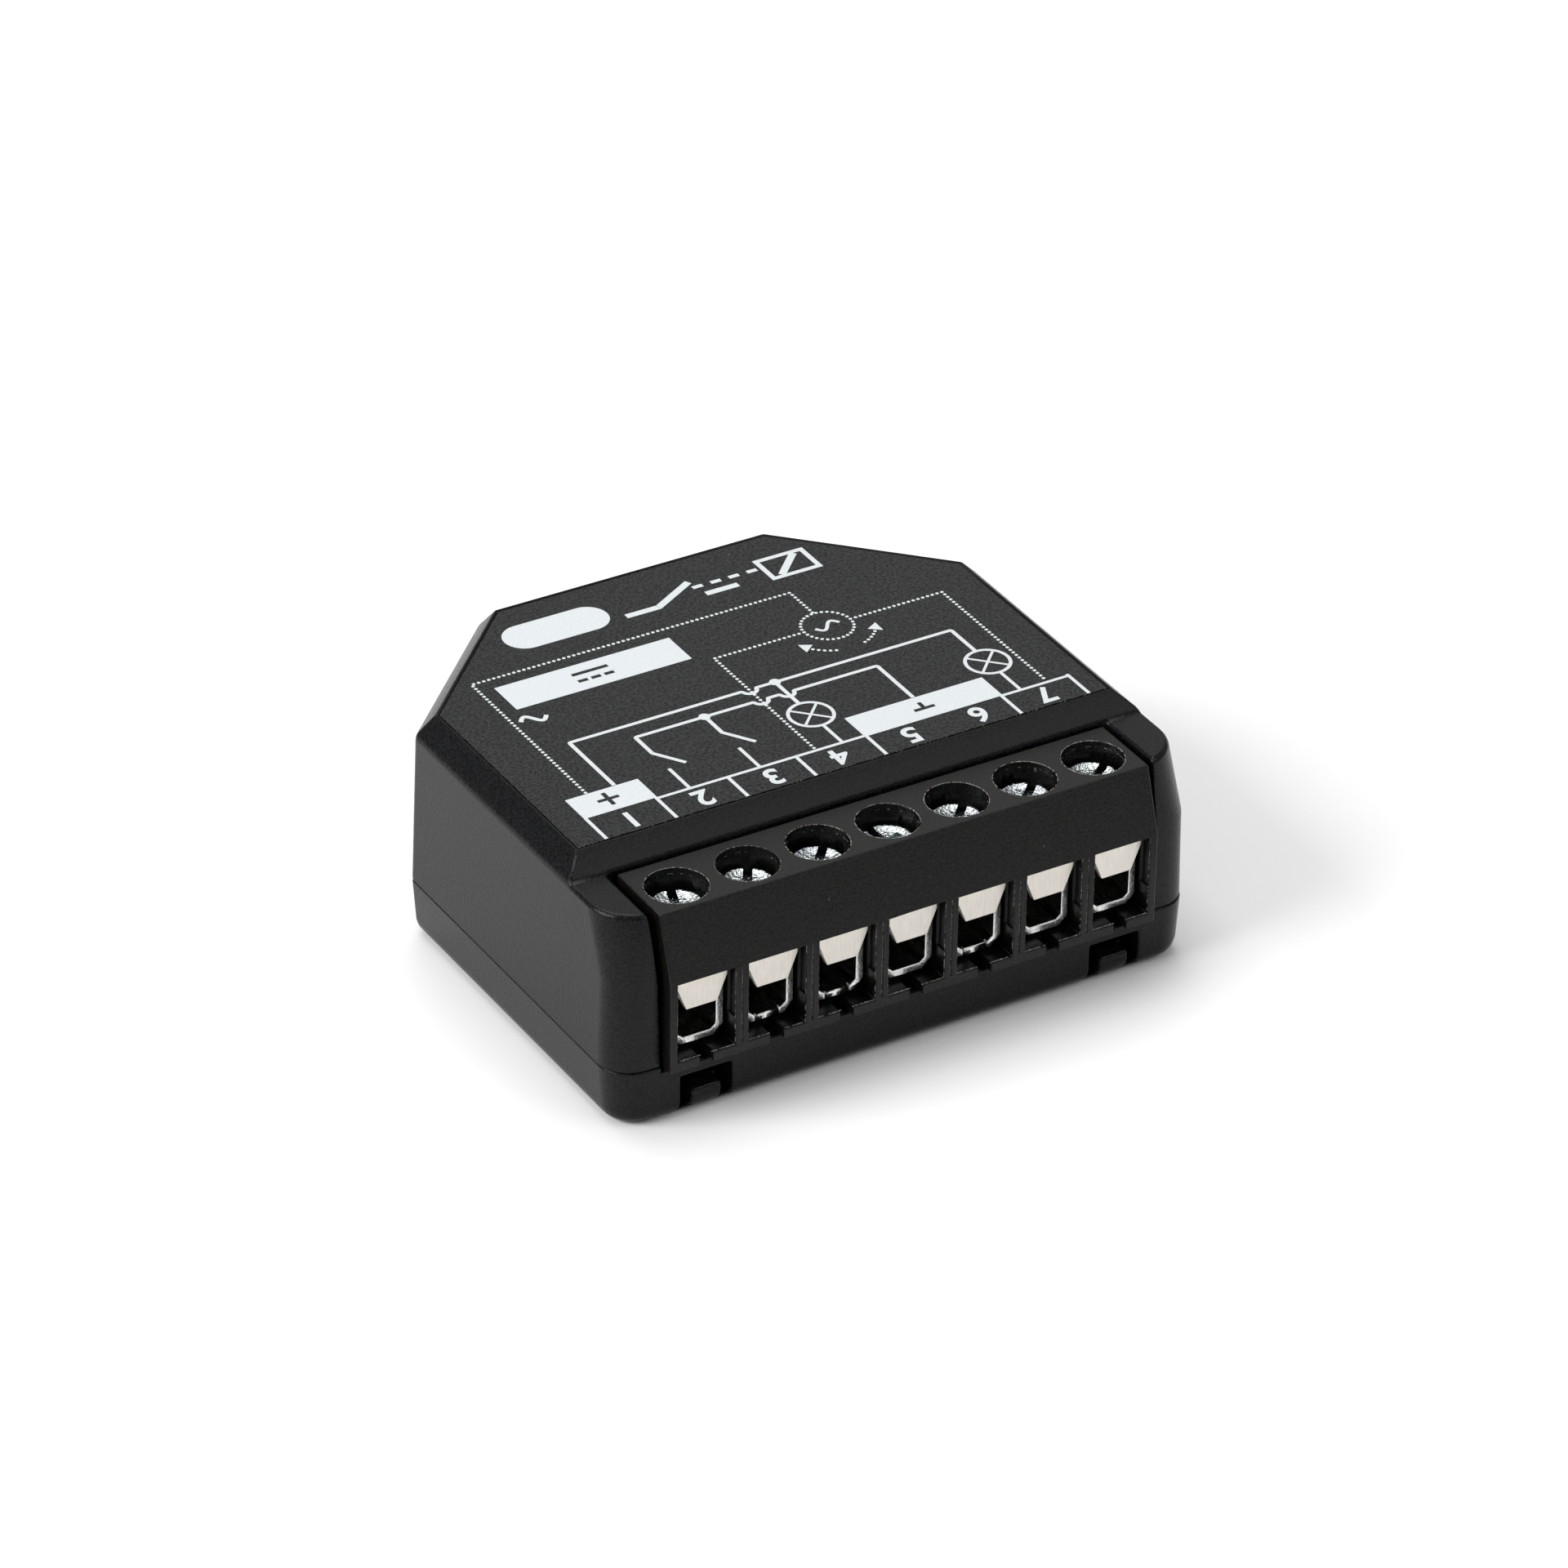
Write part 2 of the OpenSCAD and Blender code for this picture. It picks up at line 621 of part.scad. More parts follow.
module main_board() color("#1f5a38") difference() {
    prism(board_z, board_t, sharp_outline(
        inner_w - board_gap, post_y + draft + wall + board_gap, inner_back - board_gap, board_leg));
    for (i = [1 : poles]) lead_hole(pole_x(i), pin_y, sqrt(pin_w * pin_w + plate_t * plate_t) + 2 * cage_gap);
    for (i = [1 : header_pins]) lead_hole(header_x(i), header_y + shield_t / 2, lead_hole_d);
    for (side = [-1, 1]) {
        lead_hole(side_x + side * cap_pitch / 2, cap_lead_y, lead_hole_d);
        lead_hole(side_x + side * varistor_pitch / 2, varistor_y, lead_hole_d);
    }
    for (y = [fuse_y, fuse_lead_y]) lead_hole(fuse_x, y, lead_hole_d);
}

function header_x(i) = (i - (header_pins + 1) / 2) * header_pitch;

module radio_board() color("#17324a") block(0, radio_y + radio_t / 2, board_top, [radio_w, radio_t, radio_h]);

module radio_shield() color("#b4b7b9") difference() {
    block(0, radio_y - shield_t / 2, shield_z, [shield_w, shield_t, shield_h]);
    block(0, radio_y - shield_t / 2 + shield_sheet, shield_z + shield_sheet,
          [shield_w - 2 * shield_sheet, shield_t, shield_h - 2 * shield_sheet]);
}

module radio_header() color("#2b2b2c") {
    block(0, header_y + shield_t / 2, board_top, [header_w, shield_t, header_h]);
    for (i = [1 : header_pins]) lead(header_x(i), header_y + shield_t / 2, board_top + header_h / 2);
}

module at_relay(i) {
    translate([relay_side(i), relay_y, board_top]) children();
}

// A cylinder along +Y from y, on the coil's axis
module coil_rod(y, end, d) {
    rod_y(0, y, coil_z, end - y, d);
}

module relay_base(i) color("#2e2e30") at_relay(i) block(0, relay_l / 2, 0, [relay_w, relay_l, base_t]);

module relay_cover(i) color("#2a6ea5") at_relay(i) difference() {
    block(0, relay_l / 2, base_t, [relay_w, relay_l, relay_h - base_t]);
    block(0, relay_l / 2, base_t - cut,
          [relay_w - 2 * cover_t, relay_l - 2 * cover_t, relay_h - base_t - cover_t + cut]);
}

module relay_bobbin(i) color("#e6e1d3") at_relay(i) difference() {
    union() {
        translate([-coil_w / 2, coil_y, flange_z]) cube([coil_w, flange_t, yoke_z - flange_z]);
        translate([-coil_w / 2, coil_end - flange_t, base_t]) cube([coil_w, flange_t, yoke_z - base_t]);
        coil_rod(coil_y, coil_end, tube_d);
    }
    coil_rod(coil_y - cut, coil_end + cut, core_d + 2 * seat);
}

module relay_winding(i) color("#b5652b") at_relay(i) difference() {
    coil_rod(coil_y + flange_t, coil_end - flange_t, winding_d);
    coil_rod(coil_y, coil_end, tube_d + seat);
}

module relay_core(i) color("#8f9295") at_relay(i) {
    coil_rod(pole_y, coil_y, pole_d);
    coil_rod(pole_y, coil_end + yoke_t / 2, core_d);
    translate([-coil_w / 2, coil_end, base_t]) cube([coil_w, yoke_t, yoke_z + yoke_t - base_t]);
    translate([-coil_w / 2, arm_y + arm_t + 2 * seat, yoke_z])
        cube([coil_w, coil_end + yoke_t - arm_y - arm_t - 2 * seat, yoke_t]);
}

module relay_armature(i) color("#9a9da0") at_relay(i)
    translate([-coil_w / 2, arm_y, arm_z]) cube([coil_w, arm_t, hinge_z - arm_z]);

// A contact button on the armature's side, from y to end
module contact_button(y, end) {
    rod_y(0, y, contact_z, end - y, contact_d);
}

module relay_spring(i) color("#c58b4a") at_relay(i) {
    translate([-contact_d, spring_y, contact_z - contact_d / 2])
        cube([2 * contact_d, spring_t, hinge_z - spring_low - contact_z + contact_d / 2]);
    contact_button(spring_y + spring_t / 2, arm_y + contact_t);
}

module relay_contact(i) color("#c0a060") at_relay(i) {
    face_y = arm_y + contact_t + contact_gap;
    contact_button(face_y, face_y + contact_t + spring_t);
    translate([-contact_d / 2, face_y + contact_t, base_t])
        cube([contact_d, contact_t, contact_z + contact_d / 2 - base_t]);
}

module at_trafo() {
    translate([-side_x, trafo_y, board_top]) children();
}

module transformer_core() color("#3a3a3c") at_trafo() difference() {
    block(0, 0, 0, [trafo_w, trafo_l, trafo_h]);
    for (side = [-1, 1])
        block(0, side * (trafo_leg + trafo_window) / 2, trafo_yoke,
              [trafo_w + 2 * cut, trafo_window, window_h]);
}

// The box round the core's middle leg, grown by g
module round_leg(g, z, h) {
    block(0, 0, z, [trafo_w + 2 * g, trafo_leg + 2 * g, h]);
}

module transformer_bobbin() color("#e3dccb") at_trafo() difference() {
    union() {
        for (z = [trafo_yoke + seat, trafo_yoke + window_h - seat - bobbin_t])
            round_leg(seat + bobbin_t + trafo_winding, z, bobbin_t);
        round_leg(seat + bobbin_t, trafo_yoke + seat, window_h - 2 * seat);
    }
    round_leg(seat, 0, trafo_h);
}

module transformer_winding() color("#c9a227") at_trafo() difference() {
    round_leg(bobbin_t + trafo_winding, trafo_yoke + seat + bobbin_t, window_h - 2 * (seat + bobbin_t));
    round_leg(seat + bobbin_t, 0, trafo_h);
}

module input_capacitor() color("#20242c") {
    axis_z = board_top + cap_d / 2 + seat;
    rod_y(side_x, cap_y, axis_z, cap_l, cap_d);
    for (side = [-1, 1]) {
        lead(side_x + side * cap_pitch / 2, cap_lead_y, axis_z);
        rod_y(side_x + side * cap_pitch / 2, cap_y + cap_l - cut, axis_z, cut + lead_d, lead_d);
    }
}

module output_capacitor() color("#20242c")
    translate([-side_x, tank_y, board_top]) cylinder(h = tank_h, d = tank_d, $fn = facets);

module varistor() color("#2b5fa8") {
    rod_y(side_x, varistor_y - varistor_t / 2, varistor_z, varistor_t, varistor_d);
    for (side = [-1, 1]) lead(side_x + side * varistor_pitch / 2, varistor_y, varistor_z);
}

module fuse_resistor() color("#b89b6a") {
    bow_z = board_top + seat + fuse_l + fuse_bow;
    translate([fuse_x, fuse_y, board_top + seat]) cylinder(h = fuse_l, d = fuse_d, $fn = facets);
    for (y = [fuse_y, fuse_lead_y]) lead(fuse_x, y, bow_z);
    rod_y(fuse_x, fuse_y, bow_z - lead_d / 2, fuse_lead_y - fuse_y, lead_d);
}

module chip(x, y) {
    block(x, y, board_z - chip_t, [chip_w, chip_l, chip_t]);
}

module bridge_rectifier() color("#262628") chip(-side_x, trafo_y);

module supply_chip() color("#262628") chip(-side_x, trafo_y + chip_l + chip_gap);

module metering_chips() color("#262628") for (i = [1, 2]) chip(relay_side(i), relay_y + chip_l);

module control_switch() color("#8d9092")
    block(side_x, button_y, board_z - switch_t, [switch_w, switch_w, switch_t]);

module control_button() color("#3b3c3e") translate([side_x, button_y, 0]) {
    translate([0, 0, button_sink])
        cylinder(h = floor_t + seat - button_sink + collar_t, d = button_d, $fn = facets);
    translate([0, 0, floor_t + seat]) cylinder(h = collar_t, d = button_d + 2 * collar_w, $fn = facets);
}

module status_lamp() color("#e9e9e4") block(side_x, light_y, board_z - lamp_t, [lamp_l, lamp_w, lamp_t]);

upper_shell();
lower_shell();
label_plate();
terminal_block();
for (i = [1 : poles]) {
    terminal_screw(i);
    clamp_cage(i);
    contact_plate(i);
}
main_board();
radio_board();
radio_shield();
radio_header();
for (i = [1, 2]) {
    relay_base(i);
    relay_cover(i);
    relay_bobbin(i);
    relay_winding(i);
    relay_core(i);
    relay_armature(i);
    relay_spring(i);
    relay_contact(i);
}
transformer_core();
transformer_bobbin();
transformer_winding();
input_capacitor();
output_capacitor();
varistor();
fuse_resistor();
bridge_rectifier();
supply_chip();
metering_chips();
control_switch();
control_button();
status_lamp();
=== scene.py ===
import json
import math

import bmesh
import bpy
from mathutils import Matrix, Vector


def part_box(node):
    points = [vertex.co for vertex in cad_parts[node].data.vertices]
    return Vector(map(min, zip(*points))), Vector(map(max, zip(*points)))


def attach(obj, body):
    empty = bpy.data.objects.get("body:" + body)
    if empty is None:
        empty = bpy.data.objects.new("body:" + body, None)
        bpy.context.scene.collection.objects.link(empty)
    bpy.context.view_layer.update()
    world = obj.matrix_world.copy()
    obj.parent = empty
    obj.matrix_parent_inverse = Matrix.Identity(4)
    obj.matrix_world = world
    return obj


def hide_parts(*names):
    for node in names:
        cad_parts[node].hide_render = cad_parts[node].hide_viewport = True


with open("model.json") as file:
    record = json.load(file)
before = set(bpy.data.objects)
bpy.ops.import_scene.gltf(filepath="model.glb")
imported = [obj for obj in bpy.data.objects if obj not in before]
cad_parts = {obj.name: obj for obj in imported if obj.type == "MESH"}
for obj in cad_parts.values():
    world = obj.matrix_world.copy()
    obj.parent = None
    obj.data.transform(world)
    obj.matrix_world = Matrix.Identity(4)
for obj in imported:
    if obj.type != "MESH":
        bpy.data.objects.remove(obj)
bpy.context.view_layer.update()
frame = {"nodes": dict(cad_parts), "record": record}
scene = bpy.context.scene
scene.view_settings.view_transform = "Standard"
MM = 0.001


# Camera: where the photograph was taken from, in front of the wire ports, to
# their left and above them. The lens is long, so the case hardly tapers.
PICTURE_PX = 1920
SENSOR_MM = 36
FOCAL_PX = 9307.7
view_turn = math.radians(-31.092)
view_rise = math.radians(32.054)
view_roll = math.radians(0.936)
view_distance = 479.5 * MM
view_target = Vector((0, -2.2, 10.57)) * MM

towards_camera = Vector((
    math.sin(view_turn) * math.cos(view_rise),
    -math.cos(view_turn) * math.cos(view_rise),
    math.sin(view_rise)))
level_right = Vector((math.cos(view_turn), math.sin(view_turn), 0))
level_up = towards_camera.cross(level_right)
picture_right = math.cos(view_roll) * level_right + math.sin(view_roll) * level_up
picture_up = math.cos(view_roll) * level_up - math.sin(view_roll) * level_right

lens = bpy.data.cameras.new("camera")
lens.sensor_width = SENSOR_MM
lens.lens = FOCAL_PX / PICTURE_PX * SENSOR_MM
lens.clip_start = 0.01


def in_scene(name, data):
    """An object that shows a lens, a lamp, a mesh or a curve."""
    thing = bpy.data.objects.new(name, data)
    scene.collection.objects.link(thing)
    return thing


camera = in_scene("camera", lens)
camera.matrix_world = Matrix.Translation(view_target + towards_camera * view_distance) @ Matrix(
    (picture_right, picture_up, towards_camera)).transposed().to_4x4()
scene.camera = camera


# Studio: a white table in a pale room. Soft boxes above and to the left light
# the case, and two weak ones, in front and behind, lift its bevel and its label.
TABLE_SIZE = 4.0
table_white = (0.97, 0.97, 0.97)
room_grey = (0.33, 0.33, 0.33)


def new_finish(name, colour, roughness, metallic=0.0, specular=0.5):
    finish = bpy.data.materials.new(name)
    finish.use_nodes = True
    shader = finish.node_tree.nodes["Principled BSDF"]
    shader.inputs["Base Color"].default_value = (*colour, 1)
    shader.inputs["Roughness"].default_value = roughness
    shader.inputs["Metallic"].default_value = metallic
    shader.inputs["Specular IOR Level"].default_value = specular
    return finish, finish.node_tree, shader


table_top = bpy.data.meshes.new("table_top")
half = TABLE_SIZE / 2
table_top.from_pydata(
    [(-half, -half, 0), (half, -half, 0), (half, half, 0), (-half, half, 0)], [], [(0, 1, 2, 3)])
table = in_scene("table", table_top)
table_top.materials.append(new_finish("table_paint", table_white, 0.9, specular=0.0)[0])

room = bpy.data.worlds.new("room")
room.use_nodes = True
scene.world = room
room.node_tree.nodes["Background"].inputs["Color"].default_value = (*room_grey, 1)


def soft_box(name, towards, distance, size, watts):
    lamp = bpy.data.lights.new(name, "AREA")
    lamp.shape = "RECTANGLE"
    lamp.size, lamp.size_y = size
    lamp.energy = watts
    aim = Vector(towards).normalized()
    facing = aim.to_track_quat("Z", "Y").to_matrix().to_4x4()
    in_scene(name, lamp).matrix_world = Matrix.Translation(aim * distance) @ facing


soft_box("box_above", (0.05, 0.35, 1.0), 1.0, (0.7, 0.7), 4.9)
soft_box("box_left", (-1.0, 0.1, 0.7), 1.0, (0.6, 0.5), 8.3)
soft_box("box_front", (0.44, -0.54, 0.71), 1.0, (0.6, 0.5), 1.3)
soft_box("box_behind", (0.44, 0.73, 0.53), 1.0, (0.7, 0.5), 0.45)


# Lower shell: the moulded black tray that carries the boards. Its sides lean
# in to the bottom, and two slots in its front wall take the snap tabs.
MERGE = 0.02 * MM
LEAST_ROUNDING = 0.055 * MM
SHARED_ROOM, OWN_ROOM, CORNER_ROOM = 0.45, 0.9, 0.8
STEEP = 0.3
FLAT_ANGLE = math.radians(1.2)
EDGE_ANGLE = math.radians(28)
CRISP_ANGLE = math.radians(58)
body_of = {node: body for body, nodes in frame["record"]["behaviour"]["bodies"].items() for node in nodes}


def settled(piece):
    """One plain mesh of an object with its modifiers; the object goes."""
    depsgraph = bpy.context.evaluated_depsgraph_get()
    mesh = bpy.data.meshes.new_from_object(piece.evaluated_get(depsgraph), depsgraph=depsgraph)
    bpy.data.objects.remove(piece)
    return mesh


def new_piece(name, mesh, finish, node, stands_for=True):
    """A finished piece that rides where a node of the frame does, and may stand for it."""
    piece = in_scene(name, mesh)
    mesh.name = name
    if not mesh.materials:
        mesh.materials.append(finish)
    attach(piece, body_of[node])
    if stands_for:
        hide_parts(node)
    return piece


def is_sharp(edge):
    return len(edge.link_faces) == 2 and edge.calc_face_angle() > EDGE_ANGLE


def is_stub(edge, longest):
    """A short edge left between long ones, where two cuts nearly meet."""
    length = edge.calc_length()
    beside = [other for corner in edge.verts for other in corner.link_edges if other is not edge]
    return is_sharp(edge) and length < longest and all(other.calc_length() > 3 * length for other in beside)


def way_to(point, edge):
    start, end = (corner.co for corner in edge.verts)
    along = max(0.0, min(1.0, (point - start).dot(end - start) / (end - start).length_squared))
    return (start.lerp(end, along) - point).length


def rounding_room(edge, sharp):
    """How wide a rounding the two faces beside an edge leave room for."""
    room = 1.0
    for loop in edge.link_loops:
        start = loop.vert.co
        run = loop.link_loop_next.vert.co - start
        inward = loop.face.normal.cross(run).normalized()
        for side in loop.face.edges:
            ends = sorted(((corner.co - start).dot(run) / run.length_squared, (corner.co - start).dot(inward))
                          for corner in side.verts)
            (low, low_depth), (high, high_depth) = ends
            share = SHARED_ROOM if side in sharp else OWN_ROOM
            if set(side.verts) & set(edge.verts):
                reach = max(abs(low_depth), abs(high_depth))
                if side not in sharp and reach > STEEP * side.calc_length():
                    room = min(room, share * reach)
            elif high > 0 and low < 1:
                slope = (high_depth - low_depth) / max(high - low, 1e-9)
                near = min(low_depth + slope * (max(low, 0) - low), low_depth + slope * (min(high, 1) - low))
                if near > 0:
                    room = min(room, share * near)
    for corner in edge.verts:
        for face in set(corner.link_faces) - set(edge.link_faces):
            for side in face.edges:
                if corner not in side.verts:
                    room = min(room, CORNER_ROOM * way_to(corner.co, side))
    return room


def meshed(form):
    mesh = bpy.data.meshes.new("form")
    form.to_mesh(mesh)
    form.free()
    return mesh


def cut_by(mesh, blocks):
    """A mesh with blocks taken off it, each between two corners in millimetres."""
    piece = in_scene("form", mesh)
    cutters = []
    for low, high in (map(Vector, corners) for corners in blocks):
        form = bmesh.new()
        bmesh.ops.create_cube(form, size=1.0, matrix=Matrix.Translation(
            (low + high) / 2 * MM) @ Matrix.Diagonal((*((high - low) * MM), 1)))
        cutters.append(in_scene("cutter", meshed(form)))
        cut = piece.modifiers.new("cut", "BOOLEAN")
        cut.operation = "DIFFERENCE"
        cut.solver = "EXACT"
        cut.object = cutters[-1]
    mesh = settled(piece)
    for cutter in cutters:
        bpy.data.objects.remove(cutter)
    return mesh


def rounded(mesh, edge_width, segments):
    piece = in_scene("form", mesh)
    rounding = piece.modifiers.new("rounding", "BEVEL")
    rounding.width = edge_width
    rounding.segments = segments
    rounding.limit_method = "WEIGHT"
    rounding.use_clamp_overlap = False
    return settled(piece)


def evened(mesh):
    """A mesh shaded so that its flat faces look flat and its bare edges crisp."""
    mesh.shade_smooth()
    mesh.set_sharp_from_angle(angle=CRISP_ANGLE)
    piece = in_scene("form", mesh)
    evening = piece.modifiers.new("evening", "WEIGHTED_NORMAL")
    evening.weight = 100
    evening.keep_sharp = True
    return settled(piece)


def softened(mesh, rounding, segments=2, blocks=(), crisp_above=1000):
    """A mesh with blocks taken off it, merged, and with its edges rounded as a tool leaves them.

    Edges that lie higher than crisp_above stay as they are. It and rounding are in millimetres.
    """
    edge_width = rounding * MM
    mesh = cut_by(mesh, blocks)
    mesh.materials.clear()
    form = bmesh.new()
    form.from_mesh(mesh)
    bmesh.ops.remove_doubles(form, verts=form.verts, dist=MERGE)
    bmesh.ops.dissolve_degenerate(form, edges=form.edges, dist=1e-7)
    bmesh.ops.dissolve_limit(form, angle_limit=FLAT_ANGLE, verts=form.verts, edges=form.edges)
    stubs = [edge for edge in form.edges if is_stub(edge, edge_width / 2)]
    bmesh.ops.collapse(form, edges=stubs)
    form.normal_update()
    share = form.edges.layers.float.new("bevel_weight_edge")
    sharp = {edge for edge in form.edges if is_sharp(edge)}
    rooms = {edge: rounding_room(edge, sharp) for edge in sharp}
    for edge in sharp:
        if min(corner.co.z for corner in edge.verts) > crisp_above * MM:
            rooms[edge] = 0.0
    uneven = True
    while uneven:
        uneven = False
        for corner in form.verts:
            row = [edge for edge in corner.link_edges if edge in sharp]
            if len(row) == 2 and rooms[row[0]] != rooms[row[1]]:
                rooms[row[0]] = rooms[row[1]] = min(rooms[row[0]], rooms[row[1]])
                uneven = True
    for edge, room in rooms.items():
        edge[share] = min(1.0, room / edge_width) if room > min(LEAST_ROUNDING, edge_width) else 0.0
    form.to_mesh(mesh)
    form.free()
    return evened(rounded(mesh, edge_width, segments))


def softened_copy(node, *settings, **more):
    return softened(frame["nodes"][node].data.copy(), *settings, **more)


def softened_piece(name, node, finish, *settings, **more):
    """A piece with a node's own shape and softened edges, which stands for the node."""
    new_piece(name, softened_copy(node, *settings, **more), finish, node)


def put(tree, kind, inputs, output=0, **settings):
    """Adds a node with its settings, links or sets its inputs, and gives one output."""
    node = tree.nodes.new(kind)
    for setting, value in settings.items():
        setattr(node, setting, value)
    for socket, value in inputs.items():
        if isinstance(value, bpy.types.NodeSocket):
            tree.links.new(value, node.inputs[socket])
        else:
            node.inputs[socket].default_value = value
    return node.outputs[output]


def fed(node, **values):
    """Links values to a node's inputs, in whose names _ stands for a space."""
    for name, value in values.items():
        node.id_data.links.new(value, node.inputs[name.replace("_", " ")])


def place_in(tree, stretch=(1, 1, 1)):
    spot = put(tree, "ShaderNodeTexCoord", {}, "Object")
    return put(tree, "ShaderNodeMapping", {"Vector": spot, "Scale": stretch})


def noise_in(tree, scale, detail, stretch=(1, 1, 1)):
    return put(tree, "ShaderNodeTexNoise", {
        "Vector": place_in(tree, stretch), "Scale": scale, "Detail": detail})


def figured(tree, operation, a, b):
    return put(tree, "ShaderNodeMath", {0: a, 1: b}, operation=operation)


def ranged(tree, value, low, high, to_low=0.0, to_high=1.0):
    return put(tree, "ShaderNodeMapRange", {0: value, 1: low, 2: high, 3: to_low, 4: to_high})


def mixed(tree, share, a, b):
    """A colour between a and b."""
    ends = [(*end, 1) if isinstance(end, tuple) else end for end in (a, b)]
    return put(tree, "ShaderNodeMix", {0: share, 6: ends[0], 7: ends[1]}, 2, data_type="RGBA")


def bumped(tree, shader, height, depth):
    """Raises a surface by a height of 0 to 1 and a depth in millimetres."""
    bump = put(tree, "ShaderNodeBump", {"Height": height, "Strength": 1.0, "Distance": depth * MM})
    fed(shader, Normal=bump)


def effect_group(name, inputs, outputs):
    """A shader node group with named inputs and outputs, for an effect that finishes share."""
    group = bpy.data.node_groups.new(name, "ShaderNodeTree")
    for socket, value in inputs.items():
        kind = "NodeSocketVector" if isinstance(value, tuple) else "NodeSocketFloat"
        group.interface.new_socket(socket, in_out="INPUT", socket_type=kind).default_value = value
    for socket in outputs:
        group.interface.new_socket(socket, in_out="OUTPUT", socket_type="NodeSocketFloat")
    return group, group.nodes.new("NodeGroupInput").outputs, group.nodes.new("NodeGroupOutput")


def effect(tree, group, output, **values):
    inputs = {name.replace("_", " "): value for name, value in values.items()}
    return put(tree, "ShaderNodeGroup", inputs, output, node_tree=group)


# the skin of a spark-eroded mould: a fine grain, and slow changes of gloss
mould_skin, skin_in, skin_end = effect_group(
    "mould_skin", {"Grain Scale": 5000.0, "Cloud Scale": 250.0}, ("Grain", "Cloud"))
grain = noise_in(mould_skin, skin_in["Grain Scale"], 2.5)
cloud = noise_in(mould_skin, skin_in["Cloud Scale"], 4.0)
fed(skin_end, Grain=ranged(mould_skin, grain, 0.36, 0.64), Cloud=ranged(mould_skin, cloud, 0.35, 0.65))

# specks: dust, pits or short scratches, each in a cell of its own
specks, specks_in, specks_end = effect_group(
    "specks", {"Cells": 900.0, "Share": 0.2, "Size": 0.09, "Stretch": (1.0, 1.0, 1.0)}, ("Speck",))
cell_place = place_in(specks)
fed(cell_place.node, Scale=specks_in["Stretch"])
cell_size = put(specks, "ShaderNodeTexVoronoi", {"Vector": cell_place, "Scale": specks_in["Cells"]})
chance = put(specks, "ShaderNodeSeparateColor", {0: cell_size.node.outputs["Color"]})
chosen = figured(specks, "LESS_THAN", chance, specks_in["Share"])
reach = figured(specks, "MULTIPLY", chance.node.outputs[1], specks_in["Size"])
near = figured(specks, "LESS_THAN", cell_size, reach)
fed(specks_end, Speck=figured(specks, "MULTIPLY", chosen, near))


def moulded_finish(name, dark, light, gloss, grain_scale, bump, dusty, specular=0.25,
                   dust=(0.16, 0.16, 0.165)):
    """Moulded plastic: a mottled colour, uneven gloss, a fine skin and a little dust."""
    finish, tree, shader = new_finish(name, dark, gloss[0], specular=specular)
    skin = effect(tree, mould_skin, "Grain", Grain_Scale=grain_scale).node.outputs
    tone = mixed(tree, skin["Grain"], dark, light)
    dirt = effect(tree, specks, "Speck", Share=dusty)
    fine, slow = figured(tree, "MULTIPLY", skin["Grain"], 0.8), figured(tree, "MULTIPLY", skin["Cloud"], 0.2)
    shine = figured(tree, "ADD", fine, slow)
    fed(shader, Base_Color=mixed(tree, dirt, tone, dust), Roughness=ranged(tree, shine, 0.0, 1.0, *gloss))
    bumped(tree, shader, skin["Grain"], bump)
    return finish


shell_plastic = moulded_finish(
    "shell_plastic", (0.0004, 0.0005, 0.0007), (0.0080, 0.0083, 0.0095), (0.22, 0.30), 7000,
    0.006, 0.02, 0.18)
softened_piece("lower_shell_moulding", "lower_shell", shell_plastic, 0.25, 3)


# Main board: green solder resist on glass fibre, with the copper showing
# through as lighter tracks, and tinned pads. It rests on the shell's posts.
circuit, circuit_in, circuit_end = effect_group(
    "circuit", {"Track Scale": 500.0, "Pad Scale": 700.0}, ("Track", "Pad"))
track = put(circuit, "ShaderNodeTexBrick", {
    "Vector": place_in(circuit), "Scale": circuit_in["Track Scale"], "Mortar Size": 0.05,
    "Brick Width": 1.3, "Row Height": 0.55}, "Fac", offset=0.37, squash=0.6, squash_frequency=3)
pad = effect(circuit, specks, "Speck", Share=0.35, Size=0.5)
fed(pad.node, Cells=circuit_in["Pad Scale"])
fed(circuit_end, Track=track, Pad=pad)


def dressed(node, finish):
    """A solid whose shape is right keeps it, and gets its finish."""
    for slot in frame["nodes"][node].material_slots:
        slot.material = finish


def board_finish(name, resist, track_tone, pad_tone=(0.62, 0.6, 0.56)):
    finish, tree, shader = new_finish(name, resist, 0.3)
    track = effect(tree, circuit, "Track")
    pad = track.node.outputs["Pad"]
    fibre = ranged(tree, noise_in(tree, 9000.0, 2.0), 0.3, 0.7)
    ground = mixed(tree, fibre, resist, tuple(0.8 * part for part in resist))
    lined = mixed(tree, track, ground, track_tone)
    fed(shader, Base_Color=mixed(tree, pad, lined, pad_tone), Metallic=pad,
        Roughness=ranged(tree, fibre, 0.0, 1.0, 0.26, 0.36))
    bumped(tree, shader, figured(tree, "ADD", track, pad), 0.02)
    return finish


board_green = board_finish("board_green", (0.012, 0.075, 0.032), (0.03, 0.15, 0.06))
dressed("main_board", board_green)


# Leads and solder: tinned wire and legs that go through the board, each with a
# cone of solder round it on the underside.
brushing, brushing_in, brushing_end = effect_group(
    "brushing", {"Scale": 6000.0, "Stretch": (1.0, 1.0, 1.0)}, ("Streak",))
streak_place = place_in(brushing)
fed(streak_place.node, Scale=brushing_in["Stretch"])
streak = put(brushing, "ShaderNodeTexNoise", {
    "Vector": streak_place, "Scale": brushing_in["Scale"], "Detail": 3.0})
fed(brushing_end, Streak=ranged(brushing, streak, 0.32, 0.68))


